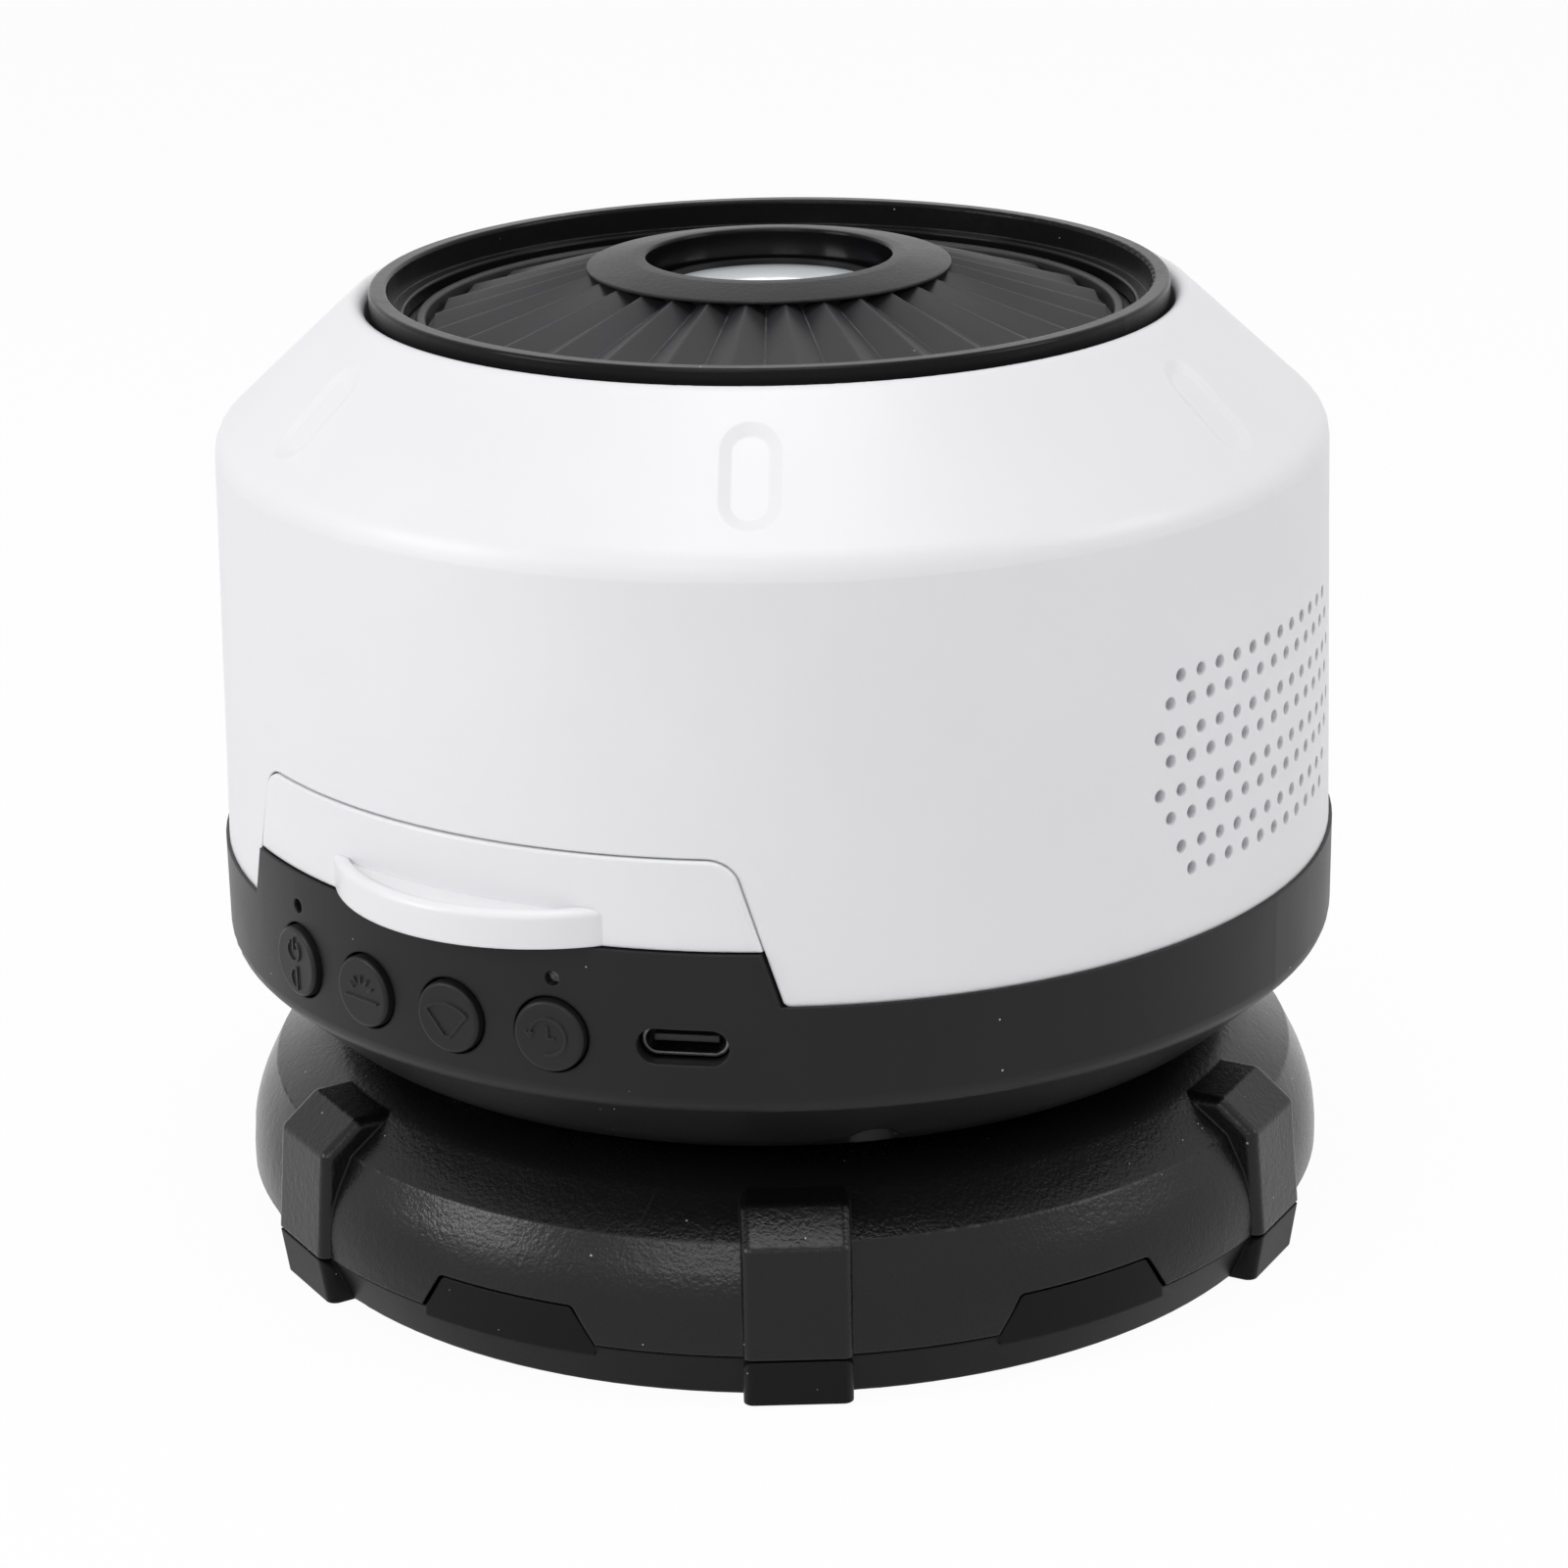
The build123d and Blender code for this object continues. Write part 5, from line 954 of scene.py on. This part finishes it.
def curved_panel(name, radii, azimuths, levels, material):
    """Thin upright panel that follows the casing's inside between two azimuths and levels."""
    inner, outer = radii
    first, last = azimuths
    low, high = levels
    steps = 48
    verts = []
    faces = []
    for k in range(steps + 1):
        turn = radians(first + (last - first) * k / steps)
        for radius, level in ((inner, low), (outer, low), (outer, high), (inner, high)):
            verts.append((radius * mm * sin(turn), -radius * mm * cos(turn), level * mm))
        if k:
            here, before = 4 * k, 4 * (k - 1)
            for i in range(4):
                j = (i + 1) % 4
                faces.append((before + i, here + i, here + j, before + j))
    faces += [(0, 1, 2, 3), (4 * steps + 3, 4 * steps + 2, 4 * steps + 1, 4 * steps)]
    mesh = bpy.data.meshes.new(name)
    mesh.from_pydata(verts, [], faces)
    mesh.materials.append(material)
    smooth_but_creased(mesh)
    return new_object(name, mesh)


# ---- focus dial ----------------------------------------------------------------------
dial_pleats = grown(
    pleated_ring(),
    "dial_pleats",
    {
        "Inner Radius": pleat_inner_radius * mm,
        "Outer Radius": pleat_outer_radius * mm,
        "Inner Ridge": ridge_inner_z * mm,
        "Outer Ridge": ridge_outer_z * mm,
        "Inner Valley": (ridge_inner_z - inner_pleat_depth) * mm,
        "Outer Valley": (ridge_outer_z - outer_pleat_depth) * mm,
        "Inner Underside": (ridge_inner_z - inner_pleat_body) * mm,
        "Outer Underside": (groove_z - outer_pleat_foot) * mm,
        "First Ridge": radians(pleat_azimuth),
        "Pleats": pleat_count,
        "Material": dial_black,
    },
)
dial_rim = lathed(
    "dial_rim",
    rounded(
        [
            (rim_foot_radius, groove_z - rim_foot_height),
            (dial_radius, groove_z - rim_foot_height),
            (dial_radius, flange_foot_z),
            (flange_radius, flange_foot_z),
            (flange_radius, flange_top_z),
            (dial_radius, flange_top_z),
            (dial_radius, rim_z),
            (rim_inner_radius, rim_z),
            (rim_inner_radius, groove_z),
            (rim_foot_radius, groove_z),
        ],
        (0, 0, 0, 0.2, 0.2, 0, 0.35, 0.35, 0.2, 0),
    ),
    dial_black,
)
dial_collar = lathed(
    "dial_collar",
    rounded(
        [
            (bore_radius, hub_z),
            (collar_foot_radius, hub_z),
            (collar_foot_radius, collar_foot_z),
            (collar_neck_radius, collar_neck_z),
            (collar_neck_radius, collar_edge_z),
            (collar_radius, collar_edge_z),
            (collar_radius, collar_edge_z + collar_edge_height),
            (collar_land_radius, collar_land_z),
            (bore_radius, collar_top_z),
        ],
        (0, 0, 0, 0, 0, 0.12, 0.15, 0.6, 0.35),
    ),
    collar_black,
    bore=bore_black,
)
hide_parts("focus_dial")
for piece in (dial_pleats, dial_rim, dial_collar):
    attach(piece, "dial")

# ---- screen behind the speaker's holes -----------------------------------------------
# Painted light: this pale screen sits just behind the holes so that they show light, as if lit
# through the white plastic.
grille_screen = curved_panel(
    "grille_screen", screen_radii, screen_azimuths, screen_levels, screen_pale_painted_light
)
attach(grille_screen, "head")

# ---- screws seen from below, and the inlet's contacts --------------------------------
screw_tree = cross_head_ring()
for name, body, replaced, count, circle, azimuth, seat, length in (
    (
        "base_screw_heads", "base", "base_screws",
        base_screw_count, base_screw_circle, base_screw_azimuth, base_screw_seat, base_screw_length,
    ),
    (
        "case_screw_heads", "head", "case_screws",
        case_screw_count, case_screw_circle, case_screw_azimuth, case_screw_seat, case_screw_length,
    ),
):
    heads = grown(
        screw_tree,
        name,
        {
            "Screws": count, "Circle": circle * mm, "First": radians(azimuth - 90),
            "Level": seat * mm, "Shank Length": length * mm, "Material": screw_zinc,
        },
    )
    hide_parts(replaced)
    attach(heads, body)

inlet_contacts = grown(
    contact_row(),
    "inlet_contacts",
    {
        "Azimuth": radians(inlet_azimuth), "Distance": contact_radius * mm,
        "Level": inlet_z * mm, "Spread": contact_spread * mm, "Material": contact_gold,
    },
)
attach(inlet_contacts, "head")


# ---- floor, lamps and camera ---------------------------------------------------------
def seen_white(tree):
    """1 for camera, glossy and transmission rays, and 0 for the light they don't carry."""
    path = place(tree, "ShaderNodeLightPath")
    camera, glossy = path.outputs["Is Camera Ray"], path.outputs["Is Glossy Ray"]
    plain = math(tree, "ADD", camera, glossy, clamp=True)
    return math(tree, "ADD", plain, path.outputs["Is Transmission Ray"], clamp=True)


def studio_world():
    """World that shows white, and lights the object softly."""
    soft_light = 0.3
    world = bpy.data.worlds.new("studio_world")
    world.use_nodes = True
    tree = world.node_tree
    background = tree.nodes["Background"]
    background.inputs["Color"].default_value = (1.0, 1.0, 1.0, 1.0)
    strength = fade(tree, seen_white(tree), 0.0, 1.0, soft_light, 1.0)
    tree.links.new(strength, background.inputs["Strength"])
    bpy.context.scene.world = world


def studio_floor():
    """Wide pale floor that keeps the object's shadow."""
    half = 2.4
    white_share = 0.96      # the rest takes the object's shadow
    mesh = bpy.data.meshes.new("studio_floor")
    mesh.from_pydata(
        [(-half, -half, 0), (half, -half, 0), (half, half, 0), (-half, half, 0)], [], [(0, 1, 2, 3)]
    )
    floor = new_object("studio_floor", mesh)
    material, tree, shader = new_material("studio_floor_white")
    shader.inputs["Base Color"].default_value = (0.9, 0.9, 0.9, 1.0)
    shader.inputs["Roughness"].default_value = 0.9
    glow = place(tree, "ShaderNodeEmission", {"Strength": 1.0})
    share = math(tree, "MULTIPLY", seen_white(tree), white_share)
    mixed = place(
        tree,
        "ShaderNodeMixShader",
        {0: share, 1: shader.outputs["BSDF"], 2: glow.outputs["Emission"]},
    )
    tree.links.new(mixed.outputs["Shader"], tree.nodes["Material Output"].inputs["Surface"])
    mesh.materials.append(material)


def softbox(name, azimuth, elevation, width, height, power):
    """Area lamp that faces the middle of the object."""
    distance = 0.9
    middle = Vector((0, 0, 0.055))
    turn, rise = radians(azimuth), radians(elevation)
    away = Vector((sin(turn) * cos(rise), -cos(turn) * cos(rise), sin(rise)))
    lamp = bpy.data.lights.new(name, "AREA")
    lamp.shape = "RECTANGLE"
    lamp.size = width
    lamp.size_y = height
    lamp.energy = power
    holder = new_object(name, lamp)
    holder.location = middle + away * distance
    holder.rotation_euler = away.to_track_quat("Z", "Y").to_euler()


def portrait_camera():
    """Camera in front and to the right, a little above."""
    away, height = 0.44427, 0.20252
    stand = radians(32.4)   # its azimuth round the object
    pitch, yaw, roll = radians(19.28), radians(0.081), radians(-1.019)
    ahead = Vector((sin(yaw) * cos(pitch), cos(yaw) * cos(pitch), -sin(pitch)))
    level = ahead.cross(Vector((0, 0, 1))).normalized()
    upright = level.cross(ahead)
    right = cos(roll) * level + sin(roll) * upright
    up = cos(roll) * upright - sin(roll) * level
    turn = Matrix.Rotation(stand, 3, "Z")
    placed = Matrix((turn @ right, turn @ up, turn @ -ahead)).transposed().to_4x4()
    placed.translation = turn @ Vector((0, -away, height))
    data = bpy.data.cameras.new("camera")
    data.lens = 94.376
    data.sensor_width = 36.0
    data.clip_start = 0.01
    camera = new_object("camera", data)
    camera.matrix_world = placed
    bpy.context.scene.camera = camera


studio_world()
studio_floor()
softbox("key_left", azimuth=-37.0, elevation=22.0, width=0.34, height=0.24, power=2.5)
softbox("front", azimuth=14.0, elevation=28.0, width=0.4, height=0.2, power=1.15)
softbox("side_right", azimuth=110.0, elevation=30.0, width=0.35, height=0.35, power=1.9)
softbox("top", azimuth=30.0, elevation=80.0, width=0.5, height=0.5, power=3.2)
portrait_camera()
bpy.context.scene.view_settings.view_transform = "Standard"

bpy.context.view_layer.update()
